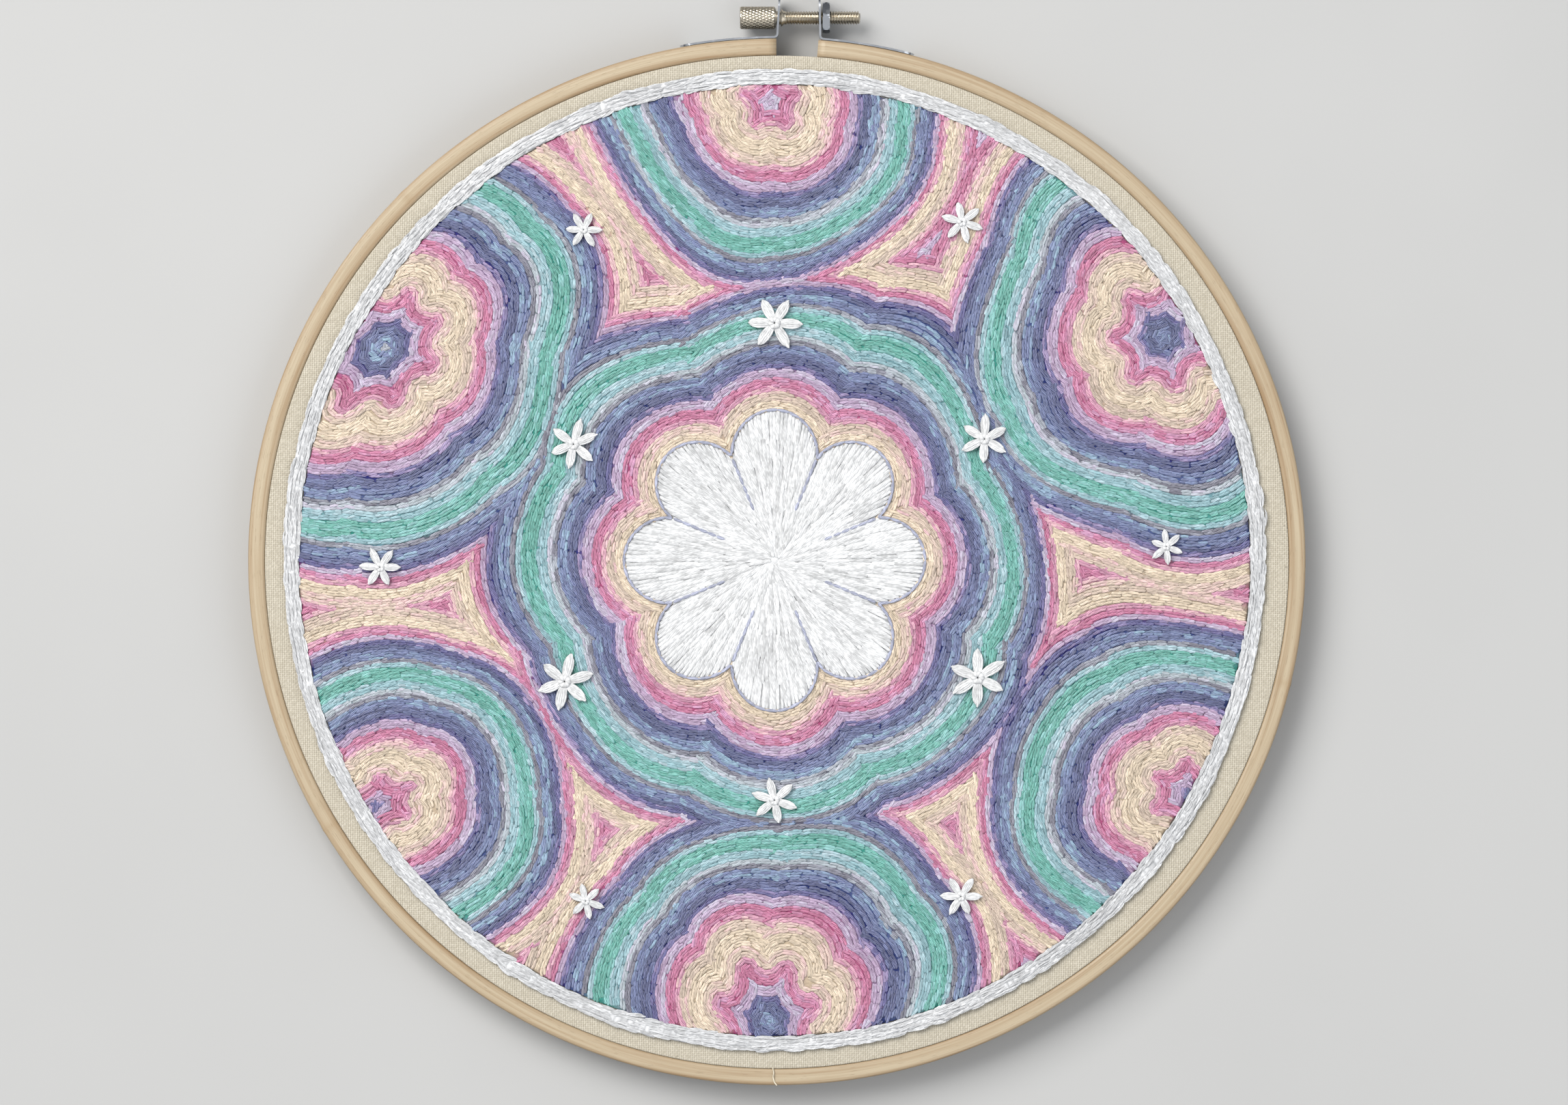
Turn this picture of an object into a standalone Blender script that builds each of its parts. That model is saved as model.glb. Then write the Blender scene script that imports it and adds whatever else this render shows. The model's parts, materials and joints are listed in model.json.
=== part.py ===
"""An embroidered cotton ground in a split bamboo hoop, lying on its back.

The outer bamboo ring is split at the top. A knurled screw through two steel ears
draws the split together, so that the ring grips the cloth against a closed inner
ring. The cloth runs over the inner ring and turns down between the two rings.
On it lie the stitched field, a raised white border, a flower and small daisies.

+Z is the stitched side, +Y points to the screw, and the surface that the hoop
lies on is z = 0. Rings, cloth and stitching are drawn round the hoop's centre.
"""

import math
from collections import namedtuple

import bmesh
import bpy
from mathutils import Vector

MM = 0.001

# Clear space between neighbouring pieces
GAP = 0.3 * MM

# Number of straight sides of every large ring
RING_SIDES = 96

# Outer ring: slightly oval, drawn in a little beside its split
HOOP_HALF_WIDTH = 102.6 * MM
HOOP_HALF_HEIGHT = 101.7 * MM
DRAWN_IN = 0.3 * MM
DRAWN_IN_ANGLE = math.radians(98)
DRAWN_IN_SPREAD = math.radians(30)
OUTER_THICK = 3.25 * MM
OUTER_DEPTH = 8.0 * MM
OUTER_EDGE = 0.45 * MM
SPLIT_LEFT = -0.1 * MM
SPLIT_RIGHT = 8.1 * MM

# Cloth: a flat disc with a rounded turn and a skirt between the rings
CLOTH_THICK = 1.0 * MM
CLOTH_FRONT = 7.9 * MM
CLOTH_TURN = 1.2 * MM
CLOTH_TURN_STEPS = 3
SKIRT_END = 1.0 * MM

# Inner ring, closed, under the cloth
INNER_THICK = 3.4 * MM
INNER_EDGE = 0.4 * MM

# Stitched round: it sits a little to the left of the ring's centre
STITCH_CENTRE = Vector((-0.45 * MM, 0.2 * MM, 0.0))
BORDER_OUTER = 95.3 * MM
BORDER_WIDTH = 3.05 * MM
BORDER_HEIGHT = 1.1 * MM
FIELD_HEIGHT = 0.8 * MM
FIELD_EDGE = 0.25 * MM

# Centre flower
FLOWER_RADIUS = 29.0 * MM
FLOWER_PETALS = 8
PETAL_NOTCH = 0.30
PETAL_FULLNESS = 0.6
FLOWER_EDGE_HEIGHT = 0.6 * MM
FLOWER_CROWN = 0.4 * MM
FLOWER_SHOULDER = 0.86
FLOWER_HEART = 0.22
FLOWER_HEART_DIP = 0.15 * MM

# Small daisies on the field: distance from the centre, bearing, size and turn
DAISY_HEIGHT = 0.6 * MM
DAISY_PETALS = 6
DAISY_POINTS = 5 * DAISY_PETALS
DAISY_WAIST = 0.36
DAISY_FULLNESS = 0.8
Daisy = namedtuple("Daisy", "distance bearing radius turn")
DAISIES = (
    Daisy(46.0 * MM, 90, 6.2 * MM, 4),
    Daisy(47.0 * MM, 30, 5.4 * MM, 21),
    Daisy(45.5 * MM, 330, 6.4 * MM, 9),
    Daisy(46.5 * MM, 270, 5.2 * MM, 33),
    Daisy(47.0 * MM, 210, 6.3 * MM, 15),
    Daisy(45.0 * MM, 150, 5.6 * MM, 27),
    Daisy(75.0 * MM, 61, 4.6 * MM, 12),
    Daisy(76.0 * MM, 2, 3.9 * MM, 30),
    Daisy(74.5 * MM, 299, 4.7 * MM, 6),
    Daisy(75.5 * MM, 241, 4.0 * MM, 18),
    Daisy(76.5 * MM, 181, 4.6 * MM, 24),
    Daisy(74.0 * MM, 120, 4.1 * MM, 36),
)

# Steel brackets: a band along the ring, bent up into an ear
STRIP_THICK = 0.48 * MM
STRIP_HALF_WIDTH = 3.5 * MM
STRIP_CORNER = 2.4 * MM
BEND_RADIUS = 0.7 * MM
BEND_STEPS = 4
BAND_STEP = 2.5 * MM
EAR_TOP = 109.9 * MM
EAR_STEPS = 6
Bracket = namedtuple("Bracket", "name band_end ear_x side")
BRACKETS = (
    Bracket("bracket_left", -18.8 * MM, 0.30 * MM, -1),
    Bracket("bracket_right", 26.6 * MM, 8.36 * MM, 1),
)

# Screw, turned from one bar: distances run along +X from the hoop's centre plane
SCREW_Y = 105.7 * MM
SCREW_Z = OUTER_DEPTH / 2
SCREW_SIDES = 32
SHANK_RADIUS = 1.325 * MM
HEAD_START = -7.17 * MM
HEAD_END = -0.52 * MM
HEAD_RADIUS = 2.185 * MM
HEAD_EDGE = 0.25 * MM
NECK_RADIUS = 1.9 * MM
COLLAR_RADIUS = 1.75 * MM
COLLAR_LENGTH = 0.5 * MM
SHANK_END = 16.2 * MM
SHANK_EDGE = 0.25 * MM
EAR_HOLE_RADIUS = SHANK_RADIUS + GAP
EAR_HOLE_SIDES = 24

# Nut behind the right ear
NUT_ACROSS_FLATS = 5.5 * MM
NUT_THICK = 1.4 * MM
NUT_SIDES = 24
NUT_CHAMFER = 0.3 * MM
NUT_TURN = math.radians(9)

SMOOTH_ANGLE = math.radians(35)


def clear_scene():
    """Removes every object that the file starts with."""
    for existing in list(bpy.data.objects):
        bpy.data.objects.remove(existing, do_unlink=True)


def linear(level):
    """One 0 to 255 display colour level as the linear value that a shader takes."""
    share = level / 255
    if share <= 0.04045:
        return share / 12.92
    return ((share + 0.055) / 1.055) ** 2.4


def make_finish(name, display_colour, roughness, metallic=0.0):
    """A plain Principled material of a display colour."""
    material = bpy.data.materials.new(name)
    material.use_nodes = True
    shader = material.node_tree.nodes["Principled BSDF"]
    shader.inputs["Base Color"].default_value = (*map(linear, display_colour), 1.0)
    shader.inputs["Roughness"].default_value = roughness
    shader.inputs["Metallic"].default_value = metallic
    return material


def make_object(name, bm, material, parent):
    """Turns a bmesh into a smooth-shaded object with outward faces."""
    bmesh.ops.recalc_face_normals(bm, faces=bm.faces)
    mesh = bpy.data.meshes.new(name)
    bm.to_mesh(mesh)
    bm.free()
    mesh.materials.append(material)
    mesh.shade_smooth()
    mesh.set_sharp_from_angle(angle=SMOOTH_ANGLE)
    piece = bpy.data.objects.new(name, mesh)
    bpy.context.scene.collection.objects.link(piece)
    piece.parent = parent
    return piece


def skin(bm, sections, wrap_sections, wrap_profile):
    """Joins rows of points with quads and returns the rows of vertices."""
    rows = [[bm.verts.new(point) for point in section] for section in sections]
    next_rows = rows[1:] + rows[:1] if wrap_sections else rows[1:]
    for row, following in zip(rows, next_rows):
        across = range(len(row)) if wrap_profile else range(len(row) - 1)
        for k in across:
            j = (k + 1) % len(row)
            bm.faces.new((row[k], row[j], following[j], following[k]))
    return rows


def hoop_radius(angle):
    """Outer radius of the bamboo at an angle: an oval, drawn in beside the split."""
    mean = (HOOP_HALF_WIDTH + HOOP_HALF_HEIGHT) / 2
    oval = (HOOP_HALF_WIDTH - HOOP_HALF_HEIGHT) / 2 * math.cos(2 * angle)
    beside_split = math.exp(-(((angle - DRAWN_IN_ANGLE) / DRAWN_IN_SPREAD) ** 2))
    return mean + oval - DRAWN_IN * beside_split


def ring_point(angle, inset, height):
    """A point at an angle, inset from the bamboo's outer face, at a height."""
    radius = hoop_radius(angle) - inset
    return Vector((radius * math.cos(angle), radius * math.sin(angle), height))


def all_angles():
    """Bearings of a closed ring's corners."""
    return [math.tau * k / RING_SIDES for k in range(RING_SIDES)]


def angle_at_x(x):
    """Bearing, near the top, where the bamboo's outer face has a given x."""
    return math.acos(x / HOOP_HALF_HEIGHT)


def ring_body(name, profile, angles, closed, material, parent):
    """A band of one closed profile of (inset, height) pairs, round the hoop."""
    bm = bmesh.new()
    sections = [[ring_point(a, *pair) for pair in profile] for a in angles]
    rows = skin(bm, sections, closed, True)
    if not closed:
        bm.faces.new(rows[0])
        bm.faces.new(rows[-1])
    return make_object(name, bm, material, parent)


def bevelled_box(near, far, low, high, edge):
    """A rectangle of (inset, height) pairs with its four corners cut."""
    return (
        (near, low + edge),
        (near, high - edge),
        (near + edge, high),
        (far - edge, high),
        (far, high - edge),
        (far, low + edge),
        (far - edge, low),
        (near + edge, low),
    )


def build_outer_hoop(material, parent):
    """The split ring, with a corner at each bearing of the closed rings."""
    left, right = angle_at_x(SPLIT_LEFT), angle_at_x(SPLIT_RIGHT) + math.tau
    between = [a + turn for turn in (0.0, math.tau) for a in all_angles()]
    margin = math.pi / RING_SIDES / 2
    inner = [a for a in between if left + margin < a < right - margin]
    profile = bevelled_box(0.0, OUTER_THICK, 0.0, OUTER_DEPTH, OUTER_EDGE)
    angles = [math.fmod(a, math.tau) for a in (left, *inner, right)]
    ring_body("outer_hoop", profile, angles, False, material, parent)


def build_inner_hoop(material, parent):
    """The closed ring, a gap inside the skirt and a gap under the cloth."""
    near = OUTER_THICK + GAP + CLOTH_THICK + GAP
    far = near + INNER_THICK
    top = CLOTH_FRONT - CLOTH_THICK - GAP
    profile = (
        (near, 0.0),
        (near, top - INNER_EDGE),
        (near + INNER_EDGE, top),
        (far, top),
        (far, 0.0),
    )
    ring_body("inner_hoop", profile, all_angles(), True, material, parent)


def build_cloth(material, parent):
    """A disc whose rim turns down in an arc and runs on as the skirt."""
    outside = OUTER_THICK + GAP
    inside = outside + CLOTH_THICK
    quarter = math.pi / 2 / CLOTH_TURN_STEPS
    turn = [
        (
            outside + CLOTH_TURN * (1 - math.sin(k * quarter)),
            CLOTH_FRONT - CLOTH_TURN * (1 - math.cos(k * quarter)),
        )
        for k in range(CLOTH_TURN_STEPS + 1)
    ]
    skirt = [
        (outside, SKIRT_END),
        (inside, SKIRT_END),
        (inside, CLOTH_FRONT - CLOTH_THICK),
    ]
    bm = bmesh.new()
    sections = [[ring_point(a, *pair) for pair in turn + skirt] for a in all_angles()]
    rows = skin(bm, sections, True, False)
    bm.faces.new([row[0] for row in rows])
    bm.faces.new([row[-1] for row in rows])
    make_object("ground_cloth", bm, material, parent)


def flower_outline(spread=0.0):
    """Points of the flower's edge, moved outwards along its normals by a spread.

    The radius is the flower's, less a notch that is deepest between two petals:
    1 - notch * (1 - |cos(petals * angle / 2)| ** fullness).
    """
    points = []
    for angle in all_angles():
        swell = abs(math.cos(FLOWER_PETALS * angle / 2)) ** PETAL_FULLNESS
        radius = FLOWER_RADIUS * (1 - PETAL_NOTCH * (1 - swell))
        points.append(Vector((radius * math.cos(angle), radius * math.sin(angle), 0.0)))
    moved = []
    for before, point, after in zip(points[-1:] + points, points, points[1:] + points[:1]):
        along = (after - before).normalized()
        moved.append(point + spread * Vector((along.y, -along.x, 0.0)))
    return moved


def build_field(material, parent):
    """A low disc with a hole of the flower's outline."""
    base = CLOTH_FRONT + GAP
    top = base + FIELD_HEIGHT
    rim = BORDER_OUTER - BORDER_WIDTH - GAP
    bm = bmesh.new()
    sections = []
    for angle, hole in zip(all_angles(), flower_outline(GAP)):
        outward = Vector((math.cos(angle), math.sin(angle), 0.0))
        edge = rim * outward
        sections.append(
            [
                STITCH_CENTRE + hole + Vector((0, 0, base)),
                STITCH_CENTRE + edge + Vector((0, 0, base)),
                STITCH_CENTRE + edge + Vector((0, 0, top - FIELD_EDGE)),
                STITCH_CENTRE + edge - FIELD_EDGE * outward + Vector((0, 0, top)),
                STITCH_CENTRE + hole + Vector((0, 0, top)),
            ]
        )
    skin(bm, sections, True, True)
    make_object("stitched_field", bm, material, parent)


def build_border(material, parent):
    """The raised white ring: a low rounded bar round the field."""
    base = CLOTH_FRONT + GAP
    shoulder = base + BORDER_HEIGHT / 2
    crown = base + BORDER_HEIGHT
    inner = BORDER_OUTER - BORDER_WIDTH
    quarter = BORDER_WIDTH / 4
    profile = (
        (inner, base),
        (inner, shoulder),
        (inner + quarter, crown),
        (BORDER_OUTER - quarter, crown),
        (BORDER_OUTER, shoulder),
        (BORDER_OUTER, base),
    )
    bm = bmesh.new()
    sections = []
    for angle in all_angles():
        outward = Vector((math.cos(angle), math.sin(angle), 0.0))
        sections.append([STITCH_CENTRE + r * outward + Vector((0, 0, z)) for r, z in profile])
    skin(bm, sections, True, True)
    make_object("border_braid", bm, material, parent)


def build_flower(material, parent):
    """The padded flower: edge, shoulder and crown, with a small dip at its heart."""
    base = CLOTH_FRONT + GAP
    edge = base + FLOWER_EDGE_HEIGHT
    crown = edge + FLOWER_CROWN
    rings = (
        (1.0, base),
        (1.0, edge),
        (FLOWER_SHOULDER, crown),
        (FLOWER_HEART, crown),
    )
    bm = bmesh.new()
    sections = []
    for point in flower_outline():
        sections.append([STITCH_CENTRE + share * point + Vector((0, 0, z)) for share, z in rings])
    rows = skin(bm, sections, True, False)
    bm.faces.new([row[0] for row in rows])
    heart = bm.verts.new(STITCH_CENTRE + Vector((0, 0, crown - FLOWER_HEART_DIP)))
    for row, following in zip(rows, rows[1:] + rows[:1]):
        bm.faces.new((row[-1], following[-1], heart))
    make_object("centre_flower", bm, material, parent)


def build_daisy(number, daisy, material, parent):
    """One small daisy, a low plate with a narrow waist between its petals."""
    base = CLOTH_FRONT + GAP + FIELD_HEIGHT + GAP
    bearing, turn = math.radians(daisy.bearing), math.radians(daisy.turn)
    centre = STITCH_CENTRE + daisy.distance * Vector((math.cos(bearing), math.sin(bearing), 0.0))
    bm = bmesh.new()
    sections = []
    for k in range(DAISY_POINTS):
        angle = math.tau * k / DAISY_POINTS
        swell = abs(math.cos(DAISY_PETALS * angle / 2)) ** DAISY_FULLNESS
        radius = daisy.radius * (DAISY_WAIST + (1 - DAISY_WAIST) * swell)
        reach = radius * Vector((math.cos(angle + turn), math.sin(angle + turn), 0.0))
        sections.append([centre + reach + Vector((0, 0, base + rise)) for rise in (0, DAISY_HEIGHT)])
    rows = skin(bm, sections, True, False)
    bm.faces.new([row[0] for row in rows])
    bm.faces.new([row[-1] for row in rows])
    make_object(f"daisy_{number:02d}", bm, material, parent)


def strip_half_width(distance_to_end):
    """Half the strip's width, narrowing in a quarter circle at a rounded end."""
    into_corner = max(0.0, STRIP_CORNER - distance_to_end)
    rounding = math.sqrt(STRIP_CORNER**2 - into_corner**2)
    return STRIP_HALF_WIDTH - STRIP_CORNER + rounding


def bracket_path(bracket):
    """Centre line of the strip: along the ring, round the bend and up the ear."""
    lift = GAP + STRIP_THICK / 2
    bend_x = bracket.ear_x + bracket.side * BEND_RADIUS
    start, stop = angle_at_x(bracket.band_end), angle_at_x(bend_x)
    steps = max(2, round(abs(start - stop) * HOOP_HALF_HEIGHT / BAND_STEP))
    band = [ring_point(start + (stop - start) * k / steps, -lift, 0.0) for k in range(steps + 1)]
    centre = Vector((bend_x, band[-1].y + BEND_RADIUS, 0.0))
    band[-1].x = bend_x
    bend = []
    for k in range(1, BEND_STEPS + 1):
        swing = math.pi / 2 * k / BEND_STEPS
        reach = Vector((-bracket.side * math.sin(swing), -math.cos(swing), 0.0))
        bend.append(centre + BEND_RADIUS * reach)
    foot = bend[-1].y
    crowded = [1 - (1 - k / EAR_STEPS) ** 2 for k in range(1, EAR_STEPS + 1)]
    ear = [Vector((bracket.ear_x, foot + (EAR_TOP - foot) * share, 0.0)) for share in crowded]
    return band + bend + ear


def build_bracket(bracket, material, parent):
    """A steel strip swept along its path, with the screw's hole cut in the ear."""
    path = bracket_path(bracket)
    lengths = [0.0]
    for before, point in zip(path, path[1:]):
        lengths.append(lengths[-1] + (point - before).length)
    bm = bmesh.new()
    sections = []
    for k, point in enumerate(path):
        before, after = path[max(k - 1, 0)], path[min(k + 1, len(path) - 1)]
        along = (after - before).normalized()
        across = STRIP_THICK / 2 * Vector((-along.y, along.x, 0.0))
        half = strip_half_width(min(lengths[k], lengths[-1] - lengths[k]))
        low, high = Vector((0, 0, SCREW_Z - half)), Vector((0, 0, SCREW_Z + half))
        sections.append([point - across + low, point + across + low, point + across + high, point - across + high])
    rows = skin(bm, sections, False, True)
    bm.faces.new(rows[0])
    bm.faces.new(rows[-1])
    strip = make_object(bracket.name, bm, material, parent)

    drill_bm = bmesh.new()
    bmesh.ops.create_cone(
        drill_bm,
        cap_ends=True,
        segments=EAR_HOLE_SIDES,
        radius1=EAR_HOLE_RADIUS,
        radius2=EAR_HOLE_RADIUS,
        depth=6 * STRIP_THICK,
    )
    drill = make_object(f"{bracket.name}_drill", drill_bm, material, parent)
    drill.location = (bracket.ear_x, SCREW_Y, SCREW_Z)
    drill.rotation_euler = (0.0, math.pi / 2, 0.0)
    drill.hide_render = True
    drill.display_type = "WIRE"
    hole = strip.modifiers.new("screw_hole", "BOOLEAN")
    hole.operation = "DIFFERENCE"
    hole.solver = "EXACT"
    hole.object = drill


def build_screw(material, parent):
    """Head, neck, shank and collar turned as one profile about the screw's axis."""
    left_ear = BRACKETS[0].ear_x
    neck_end = left_ear - STRIP_THICK / 2 - GAP
    collar = left_ear + STRIP_THICK / 2 + GAP
    profile = (
        (HEAD_RADIUS - HEAD_EDGE, HEAD_START),
        (HEAD_RADIUS, HEAD_START + HEAD_EDGE),
        (HEAD_RADIUS, HEAD_END - HEAD_EDGE),
        (HEAD_RADIUS - HEAD_EDGE, HEAD_END),
        (NECK_RADIUS, HEAD_END),
        (NECK_RADIUS, neck_end),
        (SHANK_RADIUS, neck_end),
        (SHANK_RADIUS, collar),
        (COLLAR_RADIUS, collar),
        (SHANK_RADIUS, collar + COLLAR_LENGTH),
        (SHANK_RADIUS, SHANK_END - SHANK_EDGE),
        (SHANK_RADIUS - SHANK_EDGE, SHANK_END),
    )
    bm = bmesh.new()
    sections = []
    for k in range(SCREW_SIDES):
        angle = math.tau * k / SCREW_SIDES
        outward = Vector((math.cos(angle), math.sin(angle), 0.0))
        sections.append([radius * outward + Vector((0, 0, along)) for radius, along in profile])
    rows = skin(bm, sections, True, False)
    bm.faces.new([row[0] for row in rows])
    bm.faces.new([row[-1] for row in rows])
    screw = make_object("tension_screw", bm, material, parent)
    screw.location = (0.0, SCREW_Y, SCREW_Z)
    screw.rotation_euler = (0.0, math.pi / 2, 0.0)


def hex_radius(angle):
    """Distance from a hexagon's centre to its side at an angle."""
    sixth = math.tau / 6
    from_flat = math.fmod(angle, sixth) - sixth / 2
    return NUT_ACROSS_FLATS / 2 / math.cos(from_flat)


def build_nut(material, parent):
    """A hexagon with chamfered corners and a clear hole for the shank."""
    chamfer_radius = NUT_ACROSS_FLATS / 2 + NUT_CHAMFER / 3
    bm = bmesh.new()
    sections = []
    for k in range(NUT_SIDES):
        angle = math.tau * k / NUT_SIDES
        outward = Vector((math.cos(angle), math.sin(angle), 0.0))
        side = hex_radius(angle)
        face = min(side, chamfer_radius) - NUT_CHAMFER / 3
        profile = (
            (EAR_HOLE_RADIUS, 0.0),
            (face, 0.0),
            (side, NUT_CHAMFER),
            (side, NUT_THICK - NUT_CHAMFER),
            (face, NUT_THICK),
            (EAR_HOLE_RADIUS, NUT_THICK),
        )
        sections.append([radius * outward + Vector((0, 0, along)) for radius, along in profile])
    skin(bm, sections, True, True)
    nut = make_object("hex_nut", bm, material, parent)
    right_ear = BRACKETS[1].ear_x
    nut.location = (right_ear + STRIP_THICK / 2 + GAP, SCREW_Y, SCREW_Z)
    nut.rotation_euler = (0.0, math.pi / 2, 0.0)
    nut.rotation_euler.rotate_axis("Z", NUT_TURN)


def main():
    """Builds every piece round the hoop's centre, then sets that in its place."""
    clear_scene()
    hoop_centre = bpy.data.objects.new("hoop_centre", None)
    bpy.context.scene.collection.objects.link(hoop_centre)
    hoop_centre.location = (0.0, (HOOP_HALF_HEIGHT - EAR_TOP) / 2, 0.0)

    bamboo = make_finish("bamboo", (208, 191, 159), 0.55)
    cotton = make_finish("cotton", (214, 208, 191), 0.9)
    floss = make_finish("coloured_floss", (150, 160, 190), 0.6)
    white_floss = make_finish("white_floss", (235, 236, 237), 0.6)
    steel = make_finish("steel", (190, 190, 192), 0.3, 1.0)
    nickel = make_finish("nickel", (196, 188, 176), 0.32, 1.0)

    build_outer_hoop(bamboo, hoop_centre)
    build_inner_hoop(bamboo, hoop_centre)
    build_cloth(cotton, hoop_centre)
    build_field(floss, hoop_centre)
    build_border(white_floss, hoop_centre)
    build_flower(white_floss, hoop_centre)
    for number, daisy in enumerate(DAISIES, start=1):
        build_daisy(number, daisy, white_floss, hoop_centre)
    for bracket in BRACKETS:
        build_bracket(bracket, steel, hoop_centre)
    build_screw(nickel, hoop_centre)
    build_nut(steel, hoop_centre)


main()
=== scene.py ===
"""Dresses a packed embroidery hoop: split bamboo, woven cotton, chain stitch and steel.

Sizes are in metres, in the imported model's own frame: +Z is the stitched side and
+Y points to the screw. Shapes are worked out as whole arrays, on grids of points
or as batches of thread strands, and each finish is a small class of its own.
"""

import json
import logging
import math
from dataclasses import dataclass, field
from enum import Enum
from typing import Iterable, Mapping, NamedTuple

import bpy
import numpy as np
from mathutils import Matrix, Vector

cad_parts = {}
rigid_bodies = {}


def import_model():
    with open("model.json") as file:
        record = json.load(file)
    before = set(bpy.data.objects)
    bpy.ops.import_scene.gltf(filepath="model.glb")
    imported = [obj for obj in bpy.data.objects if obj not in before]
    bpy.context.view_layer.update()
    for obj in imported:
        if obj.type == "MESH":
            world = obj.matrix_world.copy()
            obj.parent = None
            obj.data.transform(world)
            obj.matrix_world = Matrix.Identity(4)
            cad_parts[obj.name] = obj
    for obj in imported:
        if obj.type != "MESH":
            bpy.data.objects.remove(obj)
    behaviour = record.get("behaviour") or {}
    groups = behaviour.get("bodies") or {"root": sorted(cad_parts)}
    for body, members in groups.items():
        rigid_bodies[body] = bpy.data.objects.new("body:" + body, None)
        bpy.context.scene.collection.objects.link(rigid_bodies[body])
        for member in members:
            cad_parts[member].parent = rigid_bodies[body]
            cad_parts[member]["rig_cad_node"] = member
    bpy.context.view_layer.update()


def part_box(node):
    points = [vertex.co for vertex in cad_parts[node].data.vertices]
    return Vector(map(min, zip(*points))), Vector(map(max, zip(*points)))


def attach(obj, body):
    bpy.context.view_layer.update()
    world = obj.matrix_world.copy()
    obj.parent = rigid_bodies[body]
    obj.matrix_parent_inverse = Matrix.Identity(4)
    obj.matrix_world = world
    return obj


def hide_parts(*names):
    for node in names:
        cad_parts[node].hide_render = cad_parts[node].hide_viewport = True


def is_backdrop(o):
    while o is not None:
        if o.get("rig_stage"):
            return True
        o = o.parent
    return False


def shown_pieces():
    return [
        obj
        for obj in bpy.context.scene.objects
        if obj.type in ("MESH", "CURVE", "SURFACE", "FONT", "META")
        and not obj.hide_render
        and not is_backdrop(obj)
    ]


Array = np.ndarray
Colour = tuple[int, int, int]
Socket = bpy.types.NodeSocket
Material = bpy.types.Material
Piece = bpy.types.Object

MM = 0.001
TINY = 1e-12
PLY_WIDTH = 0.34 * MM
CLOTH_BACK = 7.44 * MM
HOOP_BODY = "hoop"
SCREW_BODY = "screw"
# White that thread crests are mixed towards, as a painted highlight.
PAINTED_HIGHLIGHT_WHITE = (1.0, 1.0, 1.0, 1.0)
LOG = logging.getLogger("embroidery_hoop")


class Seed(Enum):
    """Where each piece's small differences start."""

    CLOTH = 11
    ROWS = 5
    LINKS = 17
    BACKS = 19
    BORDER = 23
    FLOWER = 31
    DAISIES = 41
    ENDS = 53

    def draws(self) -> np.random.Generator:
        """A new source of random numbers."""
        return np.random.default_rng(self.value)


class Tone(Enum):
    """Colours of floss in the field, as 0 to 255 display levels."""

    NAVY = (17, 38, 106)
    VIOLET = (44, 38, 121)
    SLATE = (76, 92, 144)
    MIST = (161, 173, 182)
    AQUA = (120, 167, 177)
    TEAL = (58, 155, 140)
    GREY = (97, 96, 116)
    LAVENDER = (167, 137, 173)
    ROSE = (181, 80, 128)
    PINK = (195, 124, 156)
    PEACH = (201, 178, 158)
    CREAM = (211, 190, 162)


SECOND_DYE: dict[Tone, Tone] = {
    Tone.NAVY: Tone.SLATE,
    Tone.VIOLET: Tone.LAVENDER,
    Tone.SLATE: Tone.AQUA,
    Tone.MIST: Tone.LAVENDER,
    Tone.AQUA: Tone.MIST,
    Tone.TEAL: Tone.AQUA,
    Tone.GREY: Tone.MIST,
    Tone.LAVENDER: Tone.MIST,
    Tone.ROSE: Tone.LAVENDER,
    Tone.PINK: Tone.PEACH,
    Tone.PEACH: Tone.PINK,
    Tone.CREAM: Tone.PEACH,
}


BAND_ROWS: tuple[tuple[Tone, int], ...] = (
    (Tone.CREAM, 2),
    (Tone.PEACH, 2),
    (Tone.PINK, 1),
    (Tone.ROSE, 2),
    (Tone.LAVENDER, 2),
    (Tone.VIOLET, 1),
    (Tone.NAVY, 2),
    (Tone.SLATE, 2),
    (Tone.GREY, 1),
    (Tone.MIST, 1),
    (Tone.AQUA, 2),
    (Tone.TEAL, 3),
    (Tone.AQUA, 1),
    (Tone.GREY, 1),
    (Tone.SLATE, 2),
    (Tone.NAVY, 1),
    (Tone.VIOLET, 1),
    (Tone.LAVENDER, 1),
    (Tone.ROSE, 1),
    (Tone.PINK, 1),
)


def circle(count: int) -> Array:
    """Bearings evenly spaced round one turn, from 0."""
    return np.arange(count) / count * math.tau


def polar(reach: Array | float, bearing: Array) -> Array:
    """Points x 2 at distances and bearings from the origin."""
    return np.stack(np.broadcast_arrays(reach * np.cos(bearing), reach * np.sin(bearing)), -1)


def raised(plan: Array, height: Array | float) -> Array:
    """Flat points, each with a height as a third coordinate."""
    return np.concatenate([plan, np.broadcast_to(height, plan.shape[:-1])[..., None]], -1)


def unit(vectors: Array, floor: float = 0.0) -> Array:
    """Vectors brought to length one, with a floor where some may have no length."""
    return vectors / (np.linalg.norm(vectors, axis=-1, keepdims=True) + floor)


def linear(colour: Colour) -> tuple[float, float, float, float]:
    """Display levels from 0 to 255 as the linear colour that a shader takes.

    Args:
        colour: red, green and blue display levels.

    Returns:
        The linear colour, with full alpha.
    """
    share = np.array(colour, float) / 255
    level = np.where(share <= 0.04045, share / 12.92, ((share + 0.055) / 1.055) ** 2.4)
    return (*level.tolist(), 1.0)


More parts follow.
